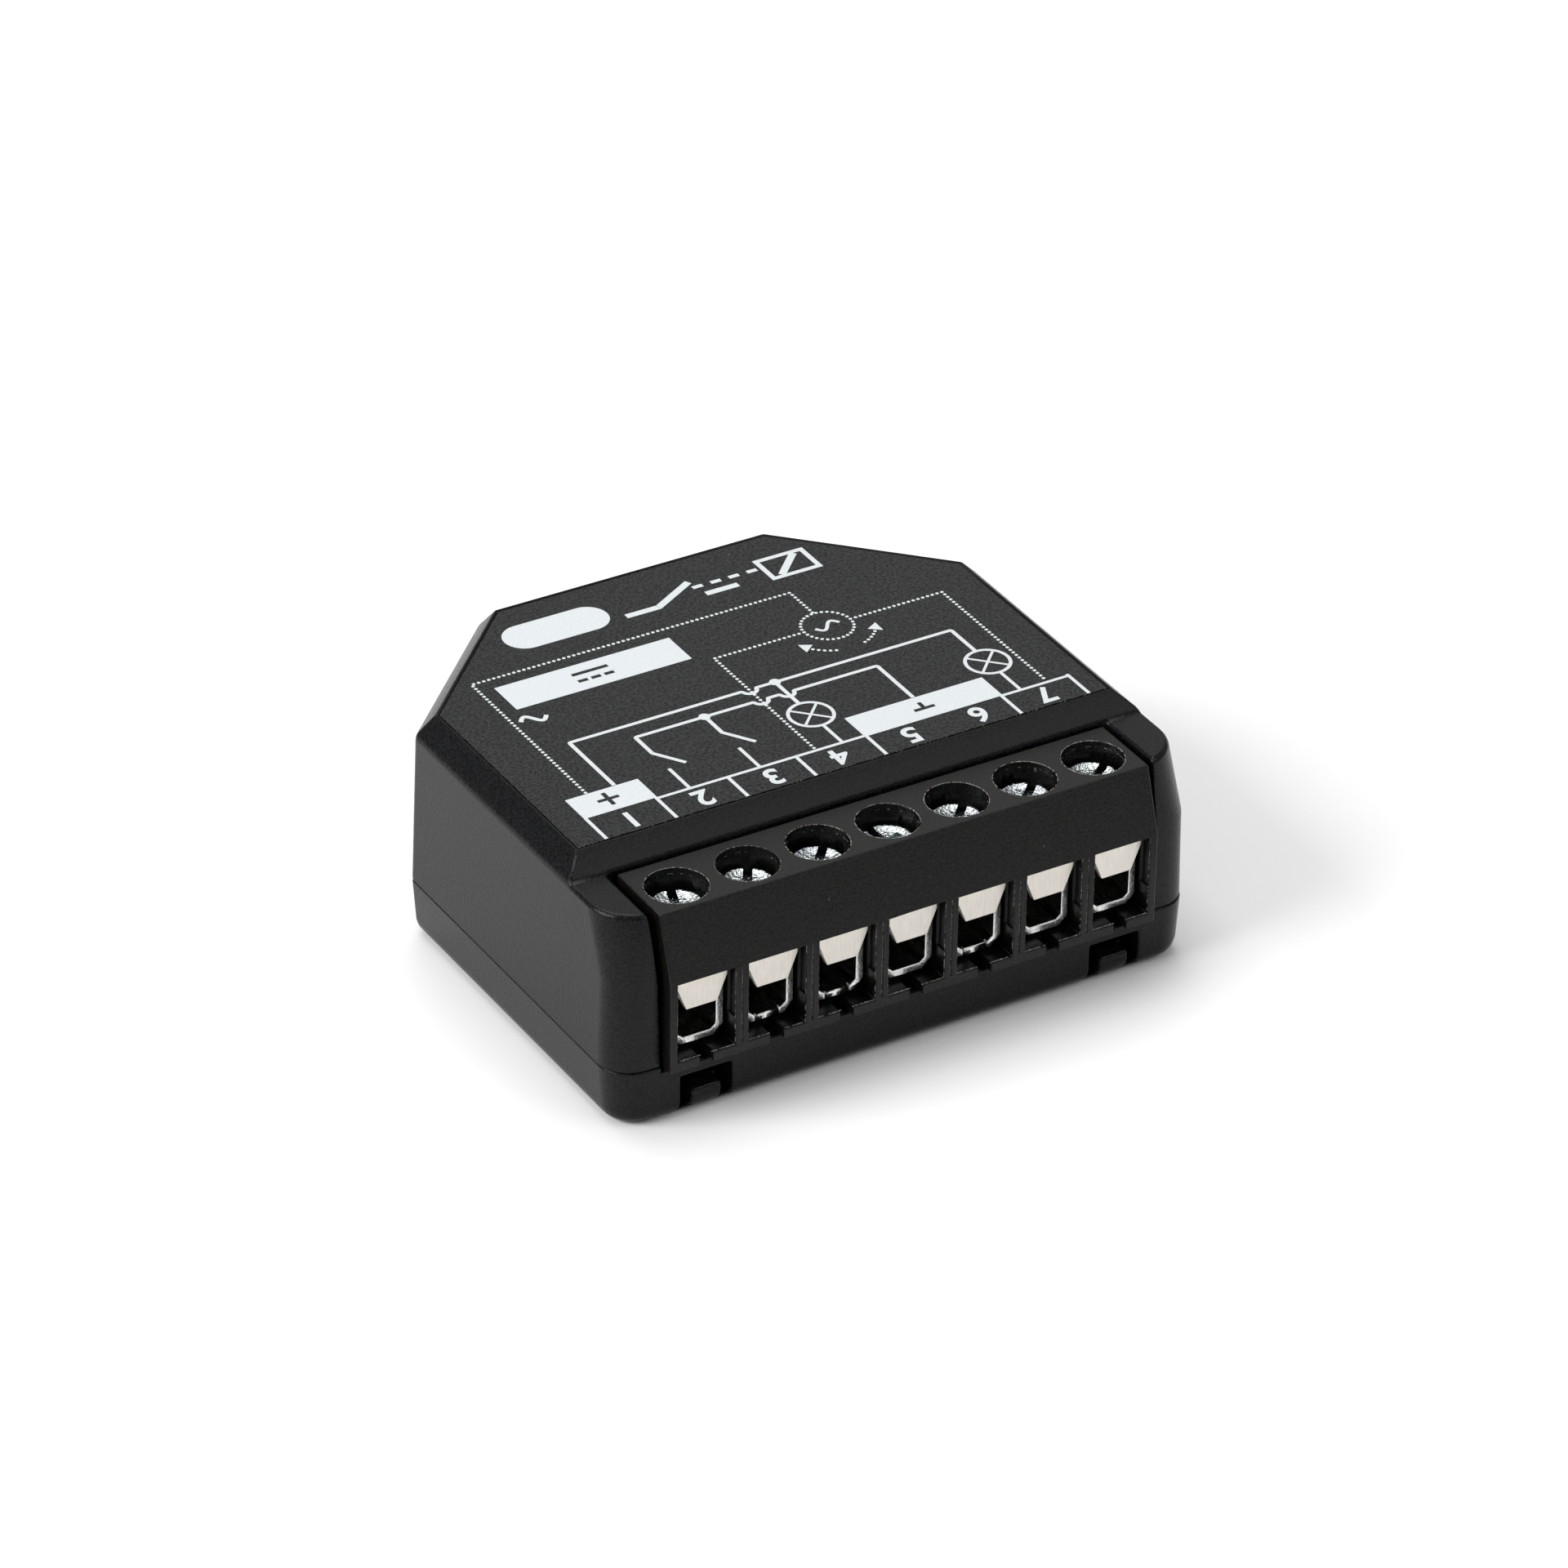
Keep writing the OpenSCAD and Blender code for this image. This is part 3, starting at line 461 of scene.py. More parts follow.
def metal_finish(name, dull, bright, gloss, scale, stretch, bump, pitted, pit=(0.2, 0.18, 0.16)):
    """Plated or bare metal, drawn or brushed along the way that stretch is small."""
    finish, tree, shader = new_finish(name, bright, gloss[0], 1.0)
    streak = effect(tree, brushing, "Streak", Scale=scale, Stretch=stretch)
    pits = effect(tree, specks, "Speck", Cells=1500.0, Share=pitted, Size=0.16)
    tone = mixed(tree, streak, dull, bright)
    fed(shader, Base_Color=mixed(tree, pits, tone, pit),
        Roughness=ranged(tree, streak, 0.0, 1.0, gloss[1], gloss[0]))
    bumped(tree, shader, streak, bump)
    return finish


def growth_tree(name, **sizes):
    """A Geometry Nodes tree with a path, named sizes and a finish as its inputs."""
    tree = bpy.data.node_groups.new(name, "GeometryNodeTree")
    tree.interface.new_socket("Path", in_out="INPUT", socket_type="NodeSocketGeometry")
    for size, kind in sizes.items():
        tree.interface.new_socket(size, in_out="INPUT", socket_type="NodeSocket" + kind)
    tree.interface.new_socket("Finish", in_out="INPUT", socket_type="NodeSocketMaterial")
    tree.interface.new_socket("Mesh", in_out="OUTPUT", socket_type="NodeSocketGeometry")
    return tree, tree.nodes.new("NodeGroupInput").outputs


def end_growth(tree, inputs, mesh, smooth=True):
    shaded = put(tree, "GeometryNodeSetShadeSmooth", {"Geometry": mesh, "Shade Smooth": smooth})
    real = put(tree, "GeometryNodeRealizeInstances", {0: shaded})
    made = put(tree, "GeometryNodeSetMaterial", {"Geometry": real, "Material": inputs["Finish"]})
    fed(tree.nodes.new("NodeGroupOutput"), Mesh=made)


def swept(tree, path, profile):
    return put(tree, "GeometryNodeCurveToMesh", {"Curve": path, "Profile Curve": profile, "Fill Caps": True})


def grown(tree, paths, cyclic=False, **sizes):
    """A plain mesh that a tree grows along paths, which are lists of points in millimetres."""
    line = bpy.data.curves.new("path", "CURVE")
    line.dimensions = "3D"
    for points in paths:
        spline = line.splines.new("POLY")
        spline.points.add(len(points) - 1)
        for knot, point in zip(spline.points, points):
            knot.co = (*(Vector(point) * MM), 1)
        spline.use_cyclic_u = cyclic
    host = in_scene("path", line)
    growth = host.modifiers.new("growth", "NODES")
    growth.node_group = tree
    for socket in tree.interface.items_tree:
        if socket.in_out == "INPUT" and socket.name in sizes:
            growth[socket.identifier] = sizes[socket.name]
    return settled(host)


def joined(meshes):
    form = bmesh.new()
    for mesh in meshes:
        form.from_mesh(mesh)
    return meshed(form)


# round wire along a path, with its corners bent
wire_run, wire_in = growth_tree("wire_run", Thickness="Float", Bend="Float")
bent = put(wire_run, "GeometryNodeFilletCurve", {
    "Curve": wire_in["Path"], "Count": 5, "Radius": wire_in["Bend"], "Limit Radius": True}, mode="POLY")
wire_round = put(wire_run, "GeometryNodeCurvePrimitiveCircle", {
    "Resolution": 12, "Radius": figured(wire_run, "MULTIPLY", wire_in["Thickness"], 0.5)})
end_growth(wire_run, wire_in, swept(wire_run, bent, wire_round))

# cones of solder on the points of a path
solder_cones, cone_in = growth_tree("solder_cones", Foot="Float", Tip="Float", Height="Float")
cone = put(solder_cones, "GeometryNodeMeshCone", {
    "Vertices": 16, "Side Segments": 2, "Radius Top": cone_in["Foot"], "Radius Bottom": cone_in["Tip"],
    "Depth": cone_in["Height"]})
end_growth(solder_cones, cone_in, put(solder_cones, "GeometryNodeInstanceOnPoints", {
    "Points": cone_in["Path"], "Instance": cone}))

lead_tin = metal_finish(
    "lead_tin", (0.55, 0.54, 0.52), (0.74, 0.73, 0.71), (0.22, 0.38), 4000.0, (1.0, 1.0, 1.0), 0.004, 0.02)
BOARD_LOW, BOARD_TOP, LEAD_LOW = 2.7, 3.9, 2.1
LEAD_THICK = 0.6
SIDE_X = 15.0
POLES = range(1, 8)
POLE_PITCH, CONTACT_LEG_Y = 5.0, -12.475
PINS, PIN_PITCH, PIN_Y = 8, 1.6, 15.0
CAN_LEAD, CAN_LEAD_Y = 1.25, -0.48
DISC_LEAD, DISC_LEAD_Y = 2.3, 2.62
FUSE_X, FUSE_Y, FUSE_LEAD_Y = -11.9, 6.82, 8.67
pole_x = {pole: (pole - 4) * POLE_PITCH for pole in POLES}
solder_spots = [(x, CONTACT_LEG_Y) for x in pole_x.values()]
solder_spots += [((pin - (PINS - 1) / 2) * PIN_PITCH, PIN_Y) for pin in range(PINS)]
solder_spots += [(SIDE_X + side * CAN_LEAD, CAN_LEAD_Y) for side in (-1, 1)]
solder_spots += [(SIDE_X + side * DISC_LEAD, DISC_LEAD_Y) for side in (-1, 1)]
solder_spots += [(FUSE_X, FUSE_Y), (FUSE_X, FUSE_LEAD_Y)]
cones = grown(solder_cones, [[(x, y, BOARD_LOW - 0.4)] for x, y in solder_spots],
              Foot=0.72 * MM, Tip=0.42 * MM, Height=0.42 * MM, Finish=lead_tin)
new_piece("solder_joints", cones, lead_tin, "main_board", False)


# Chips: black epoxy packages under the board, with tinned gull-wing legs that
# are soldered to its pads. One has the mains bridge in it.
leg_row, leg_in = growth_tree("leg_row", Width="Float", Strip="Float", Count="Int", Pitch="Vector")
leg_flat = put(leg_row, "GeometryNodeSetCurveNormal", {"Curve": leg_in["Path"]}, mode="Z_UP")
leg_shape = put(leg_row, "GeometryNodeCurvePrimitiveQuadrilateral", {
    "Width": leg_in["Width"], "Height": leg_in["Strip"]}, mode="RECTANGLE")
leg = swept(leg_row, leg_flat, leg_shape)
leg_line = put(leg_row, "GeometryNodeMeshLine", {
    "Count": leg_in["Count"], "Offset": leg_in["Pitch"]}, mode="OFFSET")
end_growth(leg_row, leg_in, put(leg_row, "GeometryNodeInstanceOnPoints", {
    "Points": leg_line, "Instance": leg}), False)

inner_black = moulded_finish(
    "inner_black", (0.010, 0.010, 0.0105), (0.022, 0.022, 0.023), (0.38, 0.52), 7000, 0.004, 0.01)
CHIP_WIDE, CHIP_LONG, CHIP_LOW, CHIP_WAIST = 3.9, 4.9, 1.6, 2.15
LEGS, LEG_PITCH = 4, 1.27


def epoxy_body(x, y):
    """A package with both halves drafted away from the split, and a sunk face."""
    form = bmesh.new()
    rings = []
    for z, inset in (
            (CHIP_LOW, 0.16), (CHIP_WAIST - 0.06, 0.02), (CHIP_WAIST + 0.06, 0.02), (BOARD_LOW - 0.08, 0.12)):
        a, b = CHIP_WIDE / 2 - inset, CHIP_LONG / 2 - inset
        rings.append([form.verts.new((Vector((x + sx * a, y + sy * b, z)) * MM)) for sx, sy in (
            (-1, -1), (1, -1), (1, 1), (-1, 1))])
    for low, high in zip(rings, rings[1:]):
        for k in range(4):
            form.faces.new((low[k], low[(k + 1) % 4], high[(k + 1) % 4], high[k]))
    form.faces.new(rings[-1])
    under = form.faces.new(rings[0][::-1])
    bmesh.ops.inset_individual(form, faces=[under], thickness=0.3 * MM, depth=-0.03 * MM)
    bmesh.ops.bevel(form, geom=form.edges[:], offset=0.05 * MM, segments=2, profile=0.5, affect="EDGES")
    return meshed(form)


def chip_legs(x, y):
    rows = []
    for side in (-1, 1):
        path = [(x + side * reach, y - (LEGS - 1) / 2 * LEG_PITCH, z) for reach, z in (
            (1.85, CHIP_WAIST), (2.25, CHIP_WAIST), (2.45, BOARD_LOW - 0.1), (2.95, BOARD_LOW - 0.1))]
        rows.append(grown(leg_row, [path], Width=0.42 * MM, Strip=0.18 * MM, Count=LEGS,
                          Pitch=(0, LEG_PITCH * MM, 0), Finish=lead_tin))
    return rows


chip_spots = {
    "bridge_rectifier": [(-SIDE_X, -5.28)], "supply_chip": [(-SIDE_X, 0.42)],
    "metering_chips": [(-5.4, -5.18), (5.4, -5.18)]}
for node, spots in chip_spots.items():
    packages = [epoxy_body(*spot) for spot in spots]
    new_piece(node + "_body", joined(packages), inner_black, node)
    legs = [row for spot in spots for row in chip_legs(*spot)]
    new_piece(node + "_legs", joined(legs), lead_tin, node, False)


# Control switch and lamp: a flat push switch in a steel frame and a clear lamp,
# both soldered under the board. The grey button is held by its collar.
switch_steel = metal_finish(
    "switch_steel", (0.40, 0.41, 0.42), (0.56, 0.57, 0.58), (0.26, 0.40), 5000.0, (1.0, 0.08, 1.0),
    0.003, 0.03)
softened_piece("switch_frame", "control_switch", switch_steel, 0.15)
button_grey = moulded_finish(
    "button_grey", (0.055, 0.055, 0.058), (0.085, 0.085, 0.09), (0.36, 0.48), 5200, 0.005, 0.02)
softened_piece("button_cap", "control_button", button_grey, 0.12, 3)
lamp_clear, tree, shader = new_finish("lamp_clear", (0.8, 0.8, 0.77), 0.2)
die = put(tree, "ShaderNodeVectorMath", {0: place_in(tree), 1: (SIDE_X * MM, -8.18 * MM, BOARD_LOW * MM)}, 1,
          operation="DISTANCE")
lens_tone = mixed(tree, ranged(tree, die, 0.35 * MM, 0.6 * MM), (0.75, 0.66, 0.2), (0.8, 0.8, 0.77))
haze = noise_in(tree, 3000.0, 2.0)
fed(shader, Base_Color=lens_tone, Roughness=ranged(tree, haze, 0.3, 0.7, 0.14, 0.24))
softened_piece("lamp_lens", "status_lamp", lamp_clear, 0.1, 3)


# Transformer: two ferrite halves round a nylon bobbin, and the winding in
# yellow polyester tape, whose last turn ends in a lapped edge.
ferrite = moulded_finish(
    "ferrite", (0.022, 0.022, 0.023), (0.05, 0.05, 0.052), (0.42, 0.6), 6000, 0.01, 0.10, 0.5)
softened_piece("transformer_ferrite", "transformer_core", ferrite, 0.2)
bobbin_nylon = moulded_finish(
    "bobbin_nylon", (0.62, 0.57, 0.46), (0.72, 0.68, 0.58), (0.34, 0.44), 4000, 0.004, 0.02, 0.4,
    (0.45, 0.4, 0.32))
softened_piece("transformer_former", "transformer_bobbin", bobbin_nylon, 0.1)
winding_tape, tree, shader = new_finish("winding_tape", (0.6, 0.42, 0.05), 0.25)
turns = put(tree, "ShaderNodeTexWave", {
    "Vector": place_in(tree), "Scale": 1500.0, "Distortion": 0.6, "Detail": 1.0}, "Fac", bands_direction="Z")
tape_tone = mixed(tree, ranged(tree, turns, 0.2, 0.8), (0.46, 0.29, 0.025), (0.66, 0.47, 0.06))
rubbed = noise_in(tree, 1500.0, 3.0)
fed(shader, Base_Color=tape_tone, Roughness=ranged(tree, rubbed, 0.3, 0.7, 0.18, 0.34))
bumped(tree, shader, turns, 0.02)
TRAFO_Y = -5.28


def lapped_tape(wide, long, low, high, layers, turn, corner):
    """Tape wound round a box: a band whose layers step out by one thickness a turn and end in a lap."""
    loop = []
    steps = 6
    for k in range(4 * steps):
        a = math.radians(90 * (k // steps) + 90 * (k % steps) / (steps - 1))
        sx, sy = ((1, 1), (-1, 1), (-1, -1), (1, -1))[k // steps]
        loop.append((sx * (wide / 2 - corner), sy * (long / 2 - corner), math.cos(a), math.sin(a)))
    form = bmesh.new()
    count = len(loop)
    outer, inner = [], []
    for k in range(layers * count + 1):
        x, y, nx, ny = loop[k % count]
        grow = corner - turn * layers + turn * k / count
        outer.append([form.verts.new(Vector((x + nx * grow, y + ny * grow, z))) for z in (low, high)])
        grow -= turn * 0.98
        inner.append([form.verts.new(Vector((x + nx * grow, y + ny * grow, z))) for z in (low, high)])
    for k in range(layers * count):
        (a, b), (c, d) = outer[k], outer[k + 1]
        (e, f), (g, h) = inner[k], inner[k + 1]
        form.faces.new((a, c, d, b))
        form.faces.new((g, e, f, h))
        form.faces.new((b, d, h, f))
        form.faces.new((e, g, c, a))
    form.faces.new((outer[0][0], outer[0][1], inner[0][1], inner[0][0]))
    form.faces.new((outer[-1][1], outer[-1][0], inner[-1][0], inner[-1][1]))
    bmesh.ops.recalc_face_normals(form, faces=form.faces)
    bmesh.ops.translate(form, vec=(-SIDE_X, TRAFO_Y, BOARD_TOP), verts=form.verts)
    bmesh.ops.scale(form, vec=(MM, MM, MM), verts=form.verts)
    return meshed(form)


tape = lapped_tape(wide=6.8, long=5.6, low=2.07, high=6.53, layers=8, turn=0.115, corner=1.3)
new_piece("transformer_tape", tape, winding_tape, "transformer_winding")


# Capacitors: aluminium cans in a dark shrunk sleeve, with the crimped neck over
# the bung that the leads come out of. One lies down, the other stands.
def turned(profile, place, steps=40):
    """A mesh turned about Z from points of radius and height, in millimetres, and then placed."""
    form = bmesh.new()
    angles = [2 * math.pi * k / steps for k in range(steps)]
    rings = [[form.verts.new((radius * math.cos(a), radius * math.sin(a), height)) for a in angles]
             for radius, height in profile]
    for low, high in zip(rings, rings[1:]):
        for k in range(steps):
            form.faces.new((low[k], low[(k + 1) % steps], high[(k + 1) % steps], high[k]))
    form.faces.new(rings[0][::-1])
    form.faces.new(rings[-1])
    mesh = meshed(form)
    mesh.transform(Matrix.Scale(MM, 4) @ place)
    mesh.shade_smooth()
    mesh.set_sharp_from_angle(angle=math.radians(50))
    return mesh


def can_profile(radius, length):
    return [(radius - 0.7, 0.0), (radius - 0.3, 0.0), (radius - 0.06, 0.2), (radius, 0.45), (radius, 0.85),
            (radius - 0.3, 1.15), (radius - 0.3, 1.4), (radius, 1.7), (radius, length - 0.5),
            (radius - 0.12, length - 0.15), (radius - 0.4, length - 0.02), (radius - 0.75, length - 0.02),
            (radius - 0.85, length - 0.1)]


capacitor_sleeve, tree, shader = new_finish("capacitor_sleeve", (0.014, 0.017, 0.026), 0.3)
shrunk = noise_in(tree, 900.0, 4.0)
wrinkle = ranged(tree, shrunk, 0.35, 0.65)
sleeve_tone = mixed(tree, wrinkle, (0.010, 0.012, 0.019), (0.020, 0.024, 0.035))
fed(shader, Base_Color=sleeve_tone, Roughness=ranged(tree, wrinkle, 0.0, 1.0, 0.22, 0.36))
bumped(tree, shader, shrunk, 0.03)
can_metal = metal_finish(
    "can_metal", (0.62, 0.62, 0.63), (0.78, 0.78, 0.79), (0.24, 0.4), 5000.0, (1.0, 0.1, 1.0), 0.003, 0.02)
CAN_END_Y, CAN_Z = -1.08, 7.1
lying = Matrix.Translation((SIDE_X, CAN_END_Y, CAN_Z)) @ Matrix.Rotation(math.radians(90), 4, "X")
standing = Matrix.Translation((-SIDE_X, 2.92, BOARD_TOP))
for node, radius, length, place in (
        ("input_capacitor", 3.15, 9.0, lying), ("output_capacitor", 2.5, 8.0, standing)):
    new_piece(node + "_sleeve", turned(can_profile(radius, length), place), capacitor_sleeve, node)
    new_piece(node + "_top", turned([
        (radius - 1.0, length - 0.5), (radius - 0.84, length - 0.3), (radius - 0.84, length - 0.08),
        (radius - 1.0, length - 0.04)], place), can_metal, node, False)


def leads(name, paths, node):
    wires = grown(wire_run, paths, Thickness=LEAD_THICK * MM, Bend=0.5 * MM, Finish=lead_tin)
    new_piece(name, wires, lead_tin, node, False)


leads("input_capacitor_leads", [
    [(x, CAN_END_Y - 0.12, CAN_Z), (x, CAN_LEAD_Y, CAN_Z), (x, CAN_LEAD_Y, LEAD_LOW)]
    for x in (SIDE_X - CAN_LEAD, SIDE_X + CAN_LEAD)], "input_capacitor")


# Varistor: a zinc-oxide disc dipped in blue epoxy, which runs a little way down
# its two leads.
varistor_blue = moulded_finish(
    "varistor_blue", (0.02, 0.075, 0.26), (0.035, 0.11, 0.34), (0.16, 0.28), 1800, 0.02, 0.01, 0.5)
upright = Matrix.Translation((SIDE_X, 4.22, 8.0)) @ Matrix.Rotation(math.radians(90), 4, "X")
new_piece("varistor_disc", turned([
    (1.2, 0.0), (2.4, 0.06), (3.0, 0.22), (3.35, 0.6), (3.5, 1.1), (3.5, 2.1), (3.35, 2.6), (3.0, 2.98),
    (2.4, 3.14), (1.2, 3.2)], upright, 48), varistor_blue, "varistor")
leads("varistor_leads", [
    [(x, DISC_LEAD_Y, 7.0), (x, DISC_LEAD_Y, LEAD_LOW)] for x in (SIDE_X - DISC_LEAD, SIDE_X + DISC_LEAD)],
    "varistor")


# Fuse resistor: a ceramic rod in a tan cement coat with painted bands. It
# stands on one end, and its upper lead bows over and comes down beside it.
FUSE_LOW, FUSE_TOP, BOW_TOP = 3.95, 10.8, 11.25
resistor_tan, tree, shader = new_finish("resistor_tan", (0.45, 0.33, 0.16), 0.5)
cement = ranged(tree, noise_in(tree, 4000.0, 3.0), 0.3, 0.7)
coat = mixed(tree, cement, (0.36, 0.25, 0.11), (0.5, 0.37, 0.19))
height = put(tree, "ShaderNodeSeparateXYZ", {0: place_in(tree)}, "Z")
for band_z, paint in ((5.2, (0.35, 0.02, 0.015)), (6.7, (0.02, 0.02, 0.02)), (7.7, (0.02, 0.02, 0.02)),
                      (9.6, (0.5, 0.36, 0.08))):
    band = put(tree, "ShaderNodeMath", {0: height, 1: band_z * MM, 2: 0.28 * MM}, operation="COMPARE")
    coat = mixed(tree, band, coat, paint)
fed(shader, Base_Color=coat, Roughness=ranged(tree, cement, 0.0, 1.0, 0.4, 0.6))
bumped(tree, shader, cement, 0.012)
new_piece("fuse_resistor_rod", turned([
    (0.45, 0.0), (0.9, 0.06), (1.15, 0.4), (1.2, 0.8), (1.2, 1.4), (1.02, 1.9), (1.0, 2.3),
    (1.0, 4.7), (1.02, 5.1), (1.2, 5.6), (1.2, 6.2), (1.15, 6.6), (0.9, 6.94), (0.45, 7.0)],
    Matrix.Translation((FUSE_X, FUSE_Y, FUSE_LOW))), resistor_tan, "fuse_resistor")
leads("fuse_resistor_leads", [
    [(FUSE_X, FUSE_Y, FUSE_LOW + 0.2), (FUSE_X, FUSE_Y, LEAD_LOW)],
    [(FUSE_X, FUSE_Y, FUSE_TOP), (FUSE_X, FUSE_Y, BOW_TOP), (FUSE_X, FUSE_LEAD_Y, BOW_TOP),
     (FUSE_X, FUSE_LEAD_Y, LEAD_LOW)]],
    "fuse_resistor")


# Relays: an iron core and yoke with a copper coil on a nylon bobbin, and an
# armature on a bronze spring, on a black base under a blue moulded cover.
winding_run, winding_in = growth_tree(
    "winding_run", Wire="Float", Turns="Float", Radius="Float", Length="Float", Place="Vector")
helix = put(winding_run, "GeometryNodeCurveSpiral", {
    "Resolution": 28, "Rotations": winding_in["Turns"], "Start Radius": winding_in["Radius"],
    "End Radius": winding_in["Radius"], "Height": winding_in["Length"]})
laid = put(winding_run, "GeometryNodeTransform", {
    "Geometry": helix, "Translation": winding_in["Place"], "Rotation": (math.radians(-90), 0, 0)})
strand = put(winding_run, "GeometryNodeCurvePrimitiveCircle", {
    "Resolution": 6, "Radius": figured(winding_run, "MULTIPLY", winding_in["Wire"], 0.5)})
end_growth(winding_run, winding_in, swept(winding_run, laid, strand))

relay_blue = moulded_finish(
    "relay_blue", (0.018, 0.10, 0.27), (0.028, 0.13, 0.32), (0.26, 0.36), 5200, 0.005, 0.02, 0.5)
copper_wire = metal_finish(
    "copper_wire", (0.42, 0.13, 0.035), (0.62, 0.24, 0.08), (0.2, 0.34), 3000.0, (1.0, 1.0, 1.0),
    0.002, 0.0)
relay_iron = metal_finish(
    "relay_iron", (0.36, 0.36, 0.36), (0.54, 0.54, 0.53), (0.3, 0.46), 5000.0, (1.0, 0.06, 1.0),
    0.004, 0.05)
spring_bronze = metal_finish(
    "spring_bronze", (0.50, 0.30, 0.12), (0.68, 0.45, 0.22), (0.22, 0.36), 6000.0, (1.0, 1.0, 0.05),
    0.003, 0.02)
WIRE, LAYER_STEP = 0.2, 0.17
for relay in (1, 2):
    for part, finish, rounding in (
            ("base", inner_black, 0.12), ("cover", relay_blue, 0.2), ("bobbin", bobbin_nylon, 0.08)):
        softened_piece(f"relay_{part}_{relay}_moulding", f"relay_{part}_{relay}", finish, rounding)
    coil_low, coil_high = (Vector(corner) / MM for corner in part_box(f"relay_winding_{relay}"))
    coil_long = coil_high.y - coil_low.y - WIRE
    coil_axis = ((coil_low.x + coil_high.x) / 2, coil_low.y + WIRE / 2, (coil_low.z + coil_high.z) / 2)
    coil_radius = (coil_high.x - coil_low.x) / 2 - WIRE / 2
    layers = [grown(winding_run, [], Wire=WIRE * MM, Turns=coil_long / WIRE,
                    Radius=(coil_radius - layer * LAYER_STEP) * MM, Length=coil_long * MM,
                    Place=Vector(coil_axis) * MM, Finish=copper_wire) for layer in (0, 1)]
    new_piece(f"relay_coil_{relay}", joined(layers), copper_wire, f"relay_winding_{relay}")
    for part in ("core", "armature"):
        softened_piece(f"relay_{part}_{relay}_iron", f"relay_{part}_{relay}", relay_iron, 0.08)
    for part in ("spring", "contact"):
        softened_piece(f"relay_{part}_{relay}_strip", f"relay_{part}_{relay}", spring_bronze, 0.04)


# Radio board: a blue board on edge at the back, soldered to a row of pins, with
# the radio under a drawn steel can.
board_blue = board_finish("board_blue", (0.006, 0.028, 0.075), (0.012, 0.055, 0.14))
dressed("radio_board", board_blue)
shield_steel = metal_finish(
    "shield_steel", (0.50, 0.51, 0.52), (0.68, 0.69, 0.70), (0.24, 0.38), 5000.0, (0.06, 1.0, 1.0),
    0.003, 0.02)
softened_piece("radio_can", "radio_shield", shield_steel, 0.1)
softened_piece("header_moulding", "radio_header", inner_black, 0.08)


# Terminal block: one black nylon moulding with seven wire ports in front and
# seven screw holes on top. Screwdrivers have left short light scratches on it.
block_plastic = moulded_finish(
    "block_plastic", (0.0006, 0.0005, 0.0004), (0.0090, 0.0083, 0.0075), (0.28, 0.36), 7000, 0.006, 0.06)


def marked(finish, mark, tone):
    """Lays a tone over the colour of a finish where a mark is."""
    shader = finish.node_tree.nodes["Principled BSDF"]
    plain_tone = shader.inputs["Base Color"].links[0].from_socket
    fed(shader, Base_Color=mixed(finish.node_tree, mark, plain_tone, tone))


scratch = effect(block_plastic.node_tree, specks, "Speck", Cells=700.0, Share=0.05, Size=0.16,
                 Stretch=(2.6, 0.35, 1.0))
marked(block_plastic, scratch, (0.075, 0.072, 0.068))
FRONT_Y, BLOCK_TOP, SCREW_Y = -18.5, 14.7, -14.64
PORT_LOW, PORT_HIGH, PORT_HALF, NOTCH_HALF = 4.6, 10.3, 2.05, 0.475
SEAM_WIDE, SEAM_DEEP = 0.14, 0.12
seams = [x + POLE_PITCH / 2 for x in pole_x.values()][:-1]
grooves = [((x - SEAM_WIDE / 2, FRONT_Y - 1, PORT_LOW + 0.05),
            (x + SEAM_WIDE / 2, FRONT_Y + SEAM_DEEP, PORT_HIGH)) for x in seams]
softened_piece("terminal_block_moulding", "terminal_block", block_plastic, 0.1, blocks=grooves)


# Flash: the thin ragged edge that the mould leaves round the holes and along
# the ports. Its slivers are pale: partly torn flash, partly a painted highlight on the hole rims and port
# edges.
flash_row, flash_in = growth_tree(
    "flash_row", Spacing="Float", Chance="Float", Long="Float", Thick="Float", Seed="Int")
flash_spots = put(flash_row, "GeometryNodeResampleCurve", {
    "Curve": flash_in["Path"], "Length": flash_in["Spacing"]}, mode="LENGTH")
torn = put(flash_row, "FunctionNodeRandomValue", {
    6: flash_in["Chance"], 8: flash_in["Seed"]}, 3, data_type="BOOLEAN")
waver = put(flash_row, "FunctionNodeRandomValue", {
    0: (-0.25, -0.15, -0.25), 1: (0.25, 0.15, 0.25), 8: flash_in["Seed"]}, 0, data_type="FLOAT_VECTOR")
along = put(flash_row, "ShaderNodeVectorMath", {
    0: put(flash_row, "GeometryNodeInputTangent", {}), 1: waver}, operation="ADD")
lie = put(flash_row, "FunctionNodeAlignRotationToVector", {"Vector": along}, axis="X")
ragged = put(flash_row, "FunctionNodeRandomValue", {
    0: (0.3, 0.4, 0.4), 1: (1.0, 1.0, 1.0), 8: flash_in["Seed"]}, 0, data_type="FLOAT_VECTOR")
sliver_size = put(flash_row, "ShaderNodeCombineXYZ", {
    0: flash_in["Long"], 1: flash_in["Thick"], 2: flash_in["Thick"]})
sliver = put(flash_row, "GeometryNodeMeshIcoSphere", {"Radius": 0.5, "Subdivisions": 1})
sliver_scale = put(flash_row, "ShaderNodeVectorMath", {0: ragged, 1: sliver_size}, operation="MULTIPLY")
end_growth(flash_row, flash_in, put(flash_row, "GeometryNodeInstanceOnPoints", {
    "Points": flash_spots, "Selection": torn, "Instance": sliver, "Rotation": lie,
    "Scale": sliver_scale}), False)

# a pale tone, partly flash and partly a painted highlight on the edges it lies along
flash_and_painted_highlight = moulded_finish(
    "flash_and_painted_highlight", (0.10, 0.097, 0.09), (0.34, 0.33, 0.31), (0.4, 0.55), 9000, 0.002, 0.0)
HOLE_RADIUS = 2.0
FLASH_Y = FRONT_Y + 0.11


